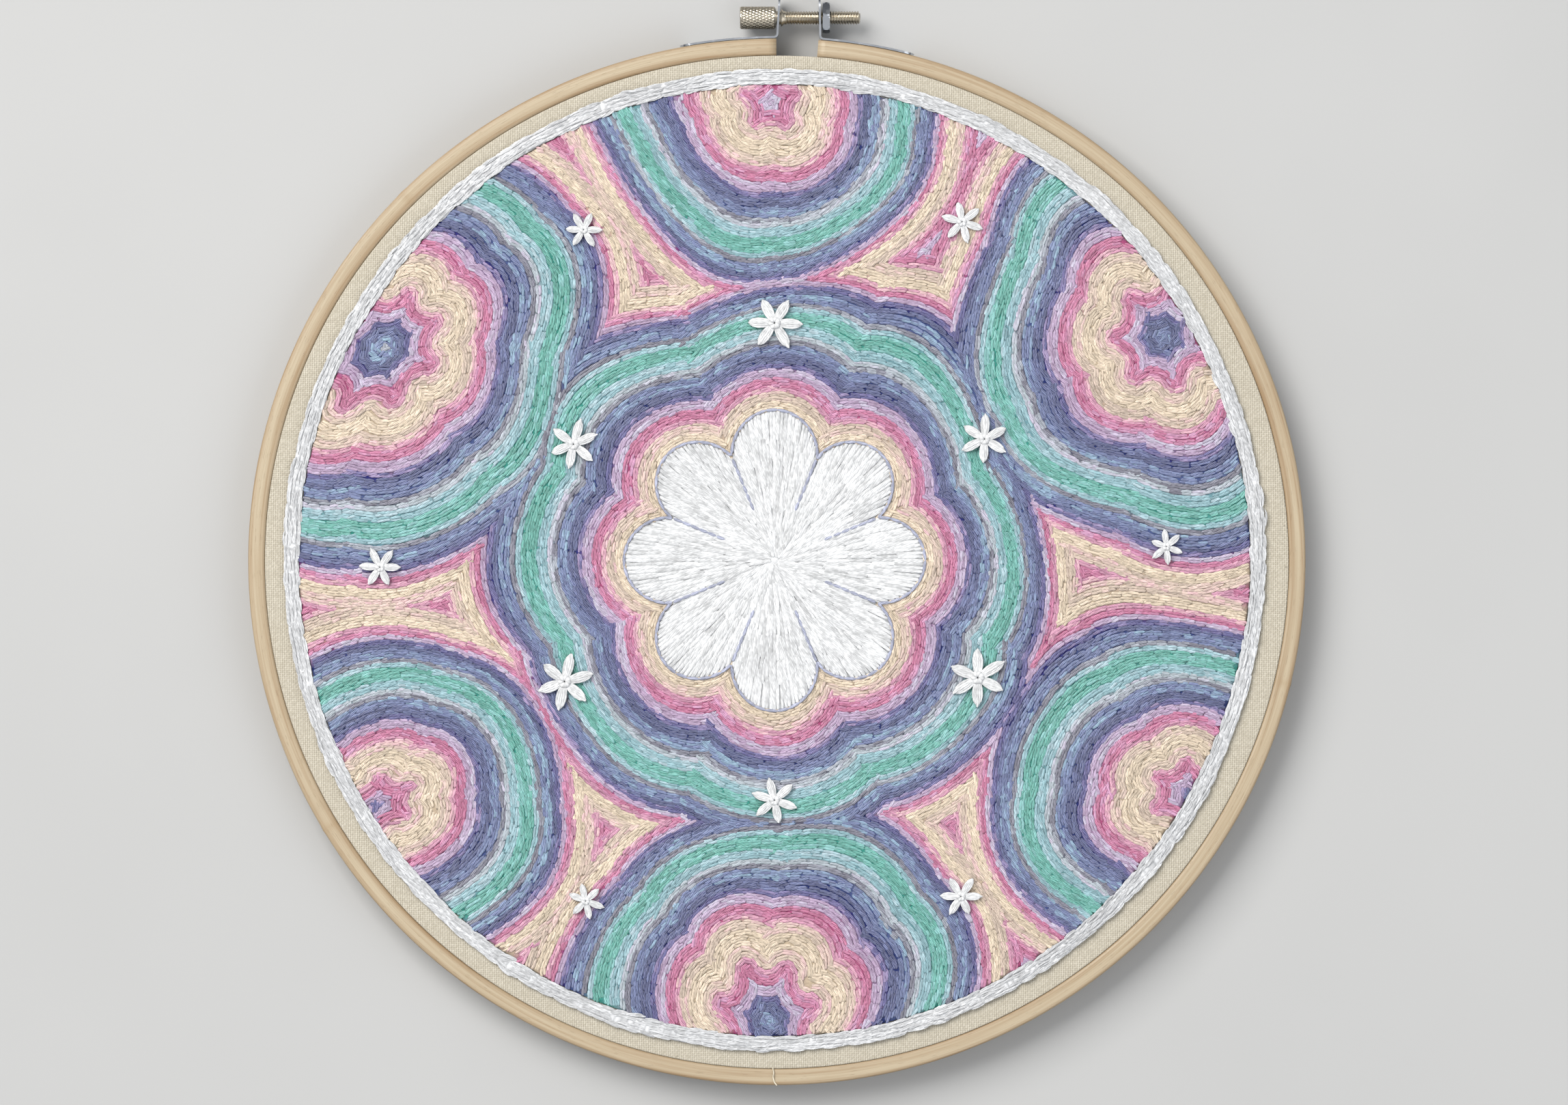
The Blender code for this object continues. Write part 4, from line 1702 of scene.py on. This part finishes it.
@dataclass
class Daisies:
    """Small raised daisies: looped petals held by a tack, round a wound knot."""

    layout: BandLayout
    white: Material
    count: int = 12
    petals: int = 6
    lift: float = 8.78 * MM
    strand_apart: float = 0.068
    strand_half: float = 0.040
    knot_rise: float = 0.72 * MM

    def petal_strands(
        self, middle: Array, radius: float, turn: float, rng: np.random.Generator
    ) -> list[Surface]:
        """Five satin strands side by side for each petal, drawn together at both ends.

        Args:
            middle: the daisy's centre.
            radius: its reach.
            turn: the first petal's bearing.
            rng: source of the small differences between petals.

        Returns:
            One surface for each place across the petals.
        """
        bearing = turn + circle(self.petals) + rng.normal(0, 0.05, self.petals)
        reach = radius * (0.94 + rng.normal(0, 0.03, self.petals))
        step = np.array([0.0, 0.08, 0.24, 0.44, 0.66, 0.85, 0.96, 1.0])
        bulge = np.array([0.1, 0.3, 0.68, 0.95, 1.0, 0.74, 0.3, 0.0])
        rise = np.array([0.1, 0.45, 0.75, 0.85, 0.8, 0.62, 0.35, 0.05]) * MM
        body = np.array([0, 0.8, 1.0, 1.05, 1.05, 1.0, 0.8, 0])
        out = polar(1.0, bearing)
        aside = np.stack([-out[:, 1], out[:, 0]], -1)
        made = []
        for side in (-2, -1, 0, 1, 2):
            spread = side * self.strand_apart * radius * bulge
            end = 1 - 0.035 * abs(side) + rng.normal(0, 0.012, (self.petals, 1, 1))
            plan = reach[:, None, None] * step[:, None] * out[:, None] * end
            plan = plan + spread[:, None] * aside[:, None] + middle
            height = self.lift + rise * (1 - 0.10 * abs(side)) + rng.normal(0, 0.02 * MM, (self.petals, 1))
            wide = np.broadcast_to(self.strand_half * radius * body, plan.shape[:2])
            made.append(strands(raised(plan, height), wide, 0.8 * wide, 5, rng.uniform(0, 1, self.petals)))
        return made

    def knot(self, middle: Array, radius: float) -> Surface:
        """A wound knot: a squat ring with a ridge that winds round it.

        Args:
            middle: the daisy's centre.
            radius: its reach.

        Returns:
            The knot.
        """
        angle, swing = circle(30), circle(10)
        ridge = 1 + 0.10 * np.cos(6 * angle[:, None] - swing)
        across = 0.115 * radius + 0.095 * radius * ridge * np.cos(swing)
        rise = self.lift + self.knot_rise + 0.075 * radius * ridge * np.sin(swing)
        points = raised(middle + polar(across, angle[:, None]), rise)
        run = np.append(angle, math.tau) * radius / MM / 4
        return grid(points[:, ::-1], run, np.arange(11) / 10, wrap_rows=True).carry(shade=0.3, tip=0.0)

    def build(self) -> None:
        """Works each daisy where its packed plate lies."""
        rng = Seed.DAISIES.draws()
        for number in range(1, self.count + 1):
            node = f"daisy_{number:02d}"
            low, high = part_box(node)
            middle = np.array([(low.x + high.x) / 2, (low.y + high.y) / 2])
            radius = (high.x - low.x + high.y - low.y) / 4
            turn = rng.uniform(0, math.tau / self.petals)
            parts = self.petal_strands(middle, radius, turn, rng) + [self.knot(middle, radius)]
            piece = Surface.join(parts).make(f"worked_{node}", self.white, "strand")
            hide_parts(node)
            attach(piece, HOOP_BODY)


class Ear(NamedTuple):
    """One bracket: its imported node, its band's end, and its ear's middle, side, punch and lean."""

    node: str
    band_end: float
    ear_x: float
    side: int
    dimple_x: float
    lean: float


@dataclass
class Bracket:
    """A steel strip along the ring, punched to grip it, bent up into an ear with a hole."""

    shape: HoopShape
    ear: Ear
    material: Material
    thick: float = 0.38 * MM
    seat: float = 0.14 * MM
    half_width: float = 3.5 * MM
    corner: float = 2.4 * MM
    bend: float = 0.7 * MM
    ear_top: float = 109.9 * MM
    lean_from: float = 3.2 * MM
    hole: float = 1.625 * MM
    dimple_width: float = 0.8 * MM
    dimple_depth: float = 0.42 * MM
    edge: float = 0.12 * MM

    def path(self) -> Array:
        """The strip's middle line: along the ring, round the bend and up the ear.

        Returns:
            Points x 2, measured from the hoop's centre.
        """
        lift = self.seat + self.thick / 2
        bend_x = self.ear.ear_x + self.ear.side * self.bend
        start, stop = self.shape.angle_at(self.ear.band_end), self.shape.angle_at(bend_x)
        band = self.shape.at(np.linspace(start, stop, 60), -lift, 0.0)[:, :2] - [0, self.shape.centre_y]
        base = band[-1, 1]
        swing = np.linspace(0, math.pi / 2, 9)[1:]
        inwards = bend_x - self.ear.side * self.bend * np.sin(swing)
        corner = np.stack([inwards, base + self.bend * (1 - np.cos(swing))], -1)
        up = np.linspace(corner[-1, 1], self.ear_top, 40)[1:]
        line = np.concatenate([band, corner, np.stack([np.full_like(up, self.ear.ear_x), up], -1)])
        above = np.clip(line[:, 1] - self.shape.screw_y, -self.lean_from, None)
        line[:, 0] += self.ear.lean * above * (line[:, 1] > base)
        return line

    def build(self) -> Piece:
        """Sweeps the strip's section along its path and drills the screw's hole.

        The strip's ends are round, and on the band a punch pushes a dimple into it.

        Returns:
            The bracket.
        """
        line = self.path()
        run = lengths(line)
        even = np.linspace(0, run[-1], 130)
        line = np.stack([np.interp(even, run, line[:, i]) for i in (0, 1)], -1)
        along = unit(np.gradient(line, axis=0))
        normal = np.stack([-along[:, 1], along[:, 0]], -1)
        to_end = np.minimum(even, run[-1] - even)
        into = np.maximum(0.0, self.corner - to_end)
        half = self.half_width - self.corner + np.sqrt(self.corner**2 - into**2)
        loop = rounded_box(2.0, self.thick, self.edge, 2, 10)
        across, face = loop[:, 0], loop[:, 1] - self.thick / 2
        aside = across * half[:, None]
        away = ((line[:, :1] - self.ear.dimple_x) / self.dimple_width) ** 2 + (aside / self.dimple_width) ** 2
        on_band = line[:, 1:] < self.ear_top - 7.5 * MM
        offset = -self.ear.side * (face - self.dimple_depth * np.exp(-away) * on_band)
        plan = line[:, None] + normal[:, None] * offset[..., None] + [0, self.shape.centre_y]
        points = raised(plan, self.shape.screw_z + aside)
        if self.ear.side < 0:
            points = points[:, ::-1]
        made = grid(points, even, np.arange(len(loop) + 1.0), caps=True)
        piece = made.make(self.ear.node.replace("bracket", "steel_band"), self.material, "strip")
        self.drill(piece)
        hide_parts(self.ear.node)
        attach(piece, HOOP_BODY)
        return piece

    def drill(self, piece: Piece) -> None:
        """Cuts the screw's hole through the ear.

        Args:
            piece: the bracket.
        """
        along = np.array([-1.5, 1.5]) * MM + self.ear.ear_x
        points = self.shape.round_screw(along[:, None], self.hole, circle(48))
        cutter = grid(points, along, np.arange(49.0), caps=True).make("drill", self.material, "strip")
        cut = piece.modifiers.new("hole", "BOOLEAN")
        cut.operation = "DIFFERENCE"
        cut.object = cutter
        bpy.context.view_layer.update()
        made = bpy.data.meshes.new_from_object(piece.evaluated_get(bpy.context.evaluated_depsgraph_get()))
        piece.modifiers.clear()
        piece.data = made
        piece.data.set_sharp_from_angle(angle=math.radians(40))
        bpy.data.objects.remove(cutter)


@dataclass
class TensionScrew:
    """The turned screw: a knurled head, a neck, a collar and a threaded shank."""

    shape: HoopShape
    material: Material
    head: tuple[float, float] = (-7.17 * MM, -0.30 * MM)
    head_radius: float = 2.185 * MM
    head_edge: float = 0.30 * MM
    knurls: int = 22
    knurl_pitch: float = 0.62 * MM
    knurl_depth: float = 0.13 * MM
    head_sides: int = 132
    neck_radius: float = 1.9 * MM
    neck_end: float = -0.14 * MM
    collar: float = 0.84 * MM
    collar_radius: float = 1.75 * MM
    shank_radius: float = 1.325 * MM
    thread_start: float = 1.5 * MM
    thread_pitch: float = 0.525 * MM
    thread_depth: float = 0.22 * MM
    end: float = 16.2 * MM
    end_chamfer: float = 0.35 * MM
    step: float = 0.001 * MM
    sides: int = 24

    def lathe(self, along: Array, radius: Array, sides: int) -> Surface:
        """A surface of radii round the screw's axis.

        Args:
            along: stations along +X.
            radius: stations x sides radii.
            sides: points round the axis.

        Returns:
            The closed surface.
        """
        points = self.shape.round_screw(along[:, None], radius, circle(sides))
        return grid(points, along, np.arange(sides + 1) / sides, caps=True)

    def knurled_head(self) -> Surface:
        """Diamonds where two sets of opposite helices cross.

        The relief is the smaller of two triangle waves, one winding each way, and
        it fades to a smooth chamfer at both ends.

        Returns:
            The head.
        """
        low, high = self.head
        along = np.concatenate([[low], np.linspace(low + 0.06 * MM, high - 0.06 * MM, 74), [high]])
        share = np.arange(self.head_sides) / self.head_sides
        lead = along[:, None] / (self.knurl_pitch * 2)
        one, two = (self.wave(self.knurls * share + way * lead) for way in (1, -1))
        relief = np.minimum(np.minimum(one, two) * 2.2, 1.0)
        into = np.clip(np.minimum(along - low, high - along) / self.head_edge, 0, 1)[:, None]
        round_off = self.head_edge * (1 - np.sqrt(1 - (1 - into) ** 2))
        fade = np.clip((into - 0.6) / 0.4, 0, 1)
        radius = self.head_radius - round_off - self.knurl_depth * (1 - relief) * fade
        radius[[0, -1]] -= 0.05 * MM
        return self.lathe(along, radius, self.head_sides)

    @staticmethod
    def wave(turns: Array) -> Array:
        """A triangle wave from 1 at each whole turn down to 0 halfway."""
        return np.abs(np.mod(turns, 1.0) - 0.5) * 2

    def shank(self) -> Surface:
        """Neck, collar and helical thread on one line of stations.

        The thread's radius falls from its crest by a triangle wave of the
        distance along less the share of a turn, so its groove is a helix.

        Returns:
            The shank, with the neck's end inside the head.
        """
        smooth = np.array(
            [
                (self.head[1] - 0.2 * MM, self.neck_radius),
                (self.neck_end - 0.04 * MM, self.neck_radius),
                (self.neck_end, self.neck_radius - 0.06 * MM),
                (self.neck_end + self.step, self.shank_radius),
                (self.collar - self.step, self.shank_radius),
                (self.collar, self.collar_radius - 0.05 * MM),
                (self.collar + 0.08 * MM, self.collar_radius),
                (self.collar + 0.5 * MM, self.shank_radius),
            ]
        )
        turns = (self.end - self.thread_start) / self.thread_pitch
        thread = np.linspace(self.thread_start, self.end, int(turns * 8))
        share = np.arange(self.sides) / self.sides
        crest = np.clip(self.wave(thread[:, None] / self.thread_pitch - share) * 1.5 - 0.25, 0, 1)
        start_fade = np.clip((thread - self.thread_start) / (0.5 * MM), 0, 1)[:, None]
        chamfer = np.clip(self.end_chamfer - (self.end - thread), 0, 1)[:, None]
        threaded = self.shank_radius - self.thread_depth * (1 - crest) * start_fade - chamfer
        radius = np.concatenate([smooth[:, 1:].repeat(self.sides, 1), threaded])
        return self.lathe(np.concatenate([smooth[:, 0], thread]), radius, self.sides)

    def build(self) -> Piece:
        """Joins the head to the shank and lets it ride on the screw's own body.

        Returns:
            The screw.
        """
        made = Surface.join([self.knurled_head(), self.shank()])
        piece = made.make("knurled_screw", self.material, "turned")
        piece.data.set_sharp_from_angle(angle=math.radians(50))
        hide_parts("tension_screw")
        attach(piece, SCREW_BODY)
        return piece


@dataclass
class HexNut:
    """A pressed nut with chamfered corners, snug behind the right ear."""

    shape: HoopShape
    material: Material
    start: float = 8.90 * MM
    thick: float = 1.4 * MM
    flats: float = 5.5 * MM
    hole: float = 1.5 * MM
    bore_chamfer: float = 0.15 * MM
    cone_start: float = 1.05
    cone_slope: float = 1.8
    turn: float = math.radians(9)
    sides: int = 144

    def build(self) -> Piece:
        """Turns a section whose outer radius follows a hexagon, cut back by a cone at its faces.

        Returns:
            The nut.
        """
        angle = circle(self.sides)
        from_flat = np.mod(angle, math.tau / 6) - math.tau / 12
        hexagon = self.flats / 2 / np.cos(from_flat)
        face = np.array([0, 0, 0.06, 0.25, 0.5, 0.75, 0.94, 1, 1, 0.9, 0.5, 0.1])
        into = np.minimum(face, 1 - face) * self.thick
        cone = self.flats / 2 * self.cone_start + into * self.cone_slope
        outer = np.minimum(hexagon[:, None], cone)
        bore = self.hole + np.maximum(0, self.bore_chamfer - into)
        radius = np.where(np.repeat([False, True, False], [1, 7, 4]), outer, bore)
        turned = math.pi / 2 - self.turn - angle
        points = self.shape.round_screw(self.start + face * self.thick, radius, turned[:, None])
        made = grid(points, np.append(angle, math.tau), np.arange(len(face) + 1.0), wrap_rows=True)
        piece = made.make("steel_nut", self.material, "turned")
        piece.data.set_sharp_from_angle(angle=math.radians(25))
        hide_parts("hex_nut")
        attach(piece, HOOP_BODY)
        return piece


@dataclass
class LooseEnds:
    """Cotton ends that have worked out of the cloth's edge and lie over the bamboo."""

    shape: HoopShape
    material: Material
    base: float = 8.08 * MM
    arch: float = 0.28 * MM
    half: tuple[float, float] = (0.13 * MM, 0.12 * MM)
    end_half: float = 0.05 * MM
    end_inset: float = 4.35 * MM
    end_base: float = 7.7 * MM
    count: int = 16

    def build(self) -> Piece:
        """One short thread across the ring at the bottom, and a few ends at the turned edge.

        Returns:
            The threads.
        """
        rng = Seed.ENDS.draws()
        step = np.linspace(0, 1, 14)
        angle = math.radians(-90.55) + math.radians(0.55) * step**1.5 + 0.002 * np.sin(7 * step)
        inset = 3.75 * MM - 3.95 * MM * step
        arch = self.arch * np.sin(math.pi * np.clip(step * 1.1, 0, 1))
        height = self.base + arch - 0.6 * MM * np.clip(step - 0.88, 0, 1)
        height[0] -= 0.7 * MM
        across = self.shape.at(angle, inset, height)
        size = np.minimum(1, np.minimum(step, 1 - step) * 12)[None]
        parts = [strands(across[None], self.half[0] * size, self.half[1] * size, 7, np.array([0.2]))]
        count = self.count
        bearing = rng.uniform(0, math.tau, count)
        lean = rng.normal(0, 0.006, count)
        reach = rng.uniform(0.3, 0.8, count) * MM
        share = np.linspace(0, 1, 7)
        curl = bearing[:, None] + lean[:, None] * share**2
        out = self.end_inset - reach[:, None] * share
        up = self.end_base + 0.35 * MM * np.sin(share * 2.2) * rng.uniform(0.5, 1, (count, 1))
        thin = self.end_half * np.array([0, 1, 1, 1, 1, 0.8, 0]) * np.ones((count, 1))
        parts.append(strands(self.shape.at(curl, out, up), thin, thin, 4, rng.uniform(-0.3, 0.6, count)))
        piece = Surface.join(parts).make("loose_cotton_ends", self.material, "strand")
        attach(piece, HOOP_BODY)
        return piece


@dataclass
class Studio:
    """A plain pale floor, a soft light from the upper left, and the camera straight above."""

    shape: HoopShape
    surface: Material
    aim: tuple[float, float] = (1.39 * MM, 1.72 * MM)
    frame_width: float = 304.2 * MM
    distance: float = 1.6
    cloth_height: float = 8.0 * MM
    sensor: float = 36.0
    floor_half: float = 1.6
    floor_drop: float = 0.05 * MM
    room_tones: tuple[Colour, Colour] = ((92, 94, 98), (246, 248, 251))
    room_strength: float = 0.72

    def floor(self) -> Piece:
        """The surface that the hoop lies on.

        Returns:
            The floor.
        """
        half = self.floor_half
        points = np.array([[[x, y, -self.floor_drop] for y in (-half, half)] for x in (half, -half)])
        made = grid(points, np.array([0.0, 1.0]), np.array([0.0, 1.0]), wrap_columns=False)
        piece = made.make("floor", self.surface, "plan")
        piece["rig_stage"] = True
        return piece

    def lamp(
        self, name: str, place: tuple[float, float, float], size: float, power: float, tint: Colour
    ) -> None:
        """One square soft lamp, aimed at the hoop.

        Args:
            name: the lamp's name.
            place: its position.
            size: its side.
            power: its strength in watts.
            tint: its colour.
        """
        data = bpy.data.lights.new(name, "AREA")
        data.size = size
        data.energy = power
        data.color = linear(tint)[:3]
        lamp = bpy.data.objects.new(name, data)
        lamp.location = place
        lamp.rotation_euler = (-lamp.location).to_track_quat("-Z", "Y").to_euler()
        bpy.context.scene.collection.objects.link(lamp)

    def build(self) -> None:
        """Makes the floor, the lamps, the surrounding light and the camera."""
        self.floor()
        self.lamp("window", place=(-0.96, 0.98, 1.6), size=1.4, power=55.5, tint=(255, 253, 250))
        self.lamp("bounce", place=(0.9, -0.5, 1.1), size=1.2, power=6.2, tint=(248, 251, 255))
        world = bpy.data.worlds.new("pale_room")
        world.use_nodes = True
        nodes = Nodes(world.node_tree)
        up = nodes.split(nodes.add("ShaderNodeTexCoord"))[2]
        room = nodes.mix(nodes.between(up, -0.05, 0.75), *map(linear, self.room_tones))
        nodes.fill(world.node_tree.nodes["Background"], {"Color": room, "Strength": self.room_strength})
        scene = bpy.context.scene
        scene.world = world
        scene.view_settings.view_transform = "Standard"

        data = bpy.data.cameras.new("camera")
        data.sensor_width = self.sensor
        data.lens = self.sensor * (self.distance - self.cloth_height) / self.frame_width
        camera = bpy.data.objects.new("camera", data)
        camera.location = (self.aim[0], self.shape.centre_y + self.aim[1], self.distance)
        scene.collection.objects.link(camera)
        scene.camera = camera


def main() -> None:
    """Builds every sub-assembly in order."""
    logging.basicConfig(level=logging.INFO, format="%(message)s")
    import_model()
    shape = HoopShape.from_frame()
    effects = Effects()

    bamboo = BambooFinish("bamboo_skin", light=(177, 162, 136), dark=(140, 113, 80)).material(effects)
    steel = MetalFinish("bright_steel", (188, 191, 196), lines=0.4, dull=0.14).material(effects)
    nickel = MetalFinish("nickel_plate", (184, 175, 158), lines=0.0, dull=0.2).material(effects)
    white = FlossFinish("white_floss", (193, 194, 195), groove=0.9).material(effects)
    heavy = FlossFinish("heavy_white_floss", (186, 187, 189), groove=0.92, depth=0.025 * MM).material(effects)
    cotton = CottonFinish("unbleached_cotton", (193, 186, 170)).material(effects)
    cotton_end = FlossFinish("cotton_end", (204, 192, 166)).material(effects)
    pale = FloorFinish("pale_surface", ((172, 172, 171), (175, 175, 174))).material(effects)

    BambooRing(
        shape, "split_ring", "outer_hoop", near=0.0, thick=3.25 * MM, depth=8.0 * MM, corner=0.5 * MM,
        joints=(-13.5, 210.7, 135.5), split=(-0.1 * MM, 8.1 * MM), uneven=0.06 * MM,
    ).build(bamboo)
    LOG.info("split ring")
    BambooRing(
        shape, "closed_ring", "inner_hoop", near=4.85 * MM, thick=3.4 * MM, depth=6.6 * MM, corner=0.45 * MM,
        joints=(40.0, 196.0), seed=8,
    ).build(bamboo)
    LOG.info("closed ring")
    GroundCloth(shape).build(cotton)
    LOG.info("cloth")

    layout = BandLayout(centre=(-0.45 * MM, 0.2 * MM + shape.centre_y))
    StitchedField(layout, effects).build()
    Border(layout, heavy).build()
    CentreFlower(layout, effects, white).build()
    Daisies(layout, white).build()
    LOG.info("stitching")

    for ear in (
        Ear("bracket_left", band_end=-18.8 * MM, ear_x=0.30 * MM, side=-1, dimple_x=-13.3 * MM, lean=0.06),
        Ear("bracket_right", band_end=26.6 * MM, ear_x=8.36 * MM, side=1, dimple_x=21.5 * MM, lean=-0.02),
    ):
        Bracket(shape, ear, steel).build()
    TensionScrew(shape, nickel).build()
    HexNut(shape, steel).build()
    LooseEnds(shape, cotton_end).build()
    LOG.info("hardware")
    Studio(shape, pale).build()

    total = sum(len(o.data.polygons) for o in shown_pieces() if "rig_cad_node" not in o)
    LOG.info("faces in all: %d", total)


if __name__ == "__main__":
    main()
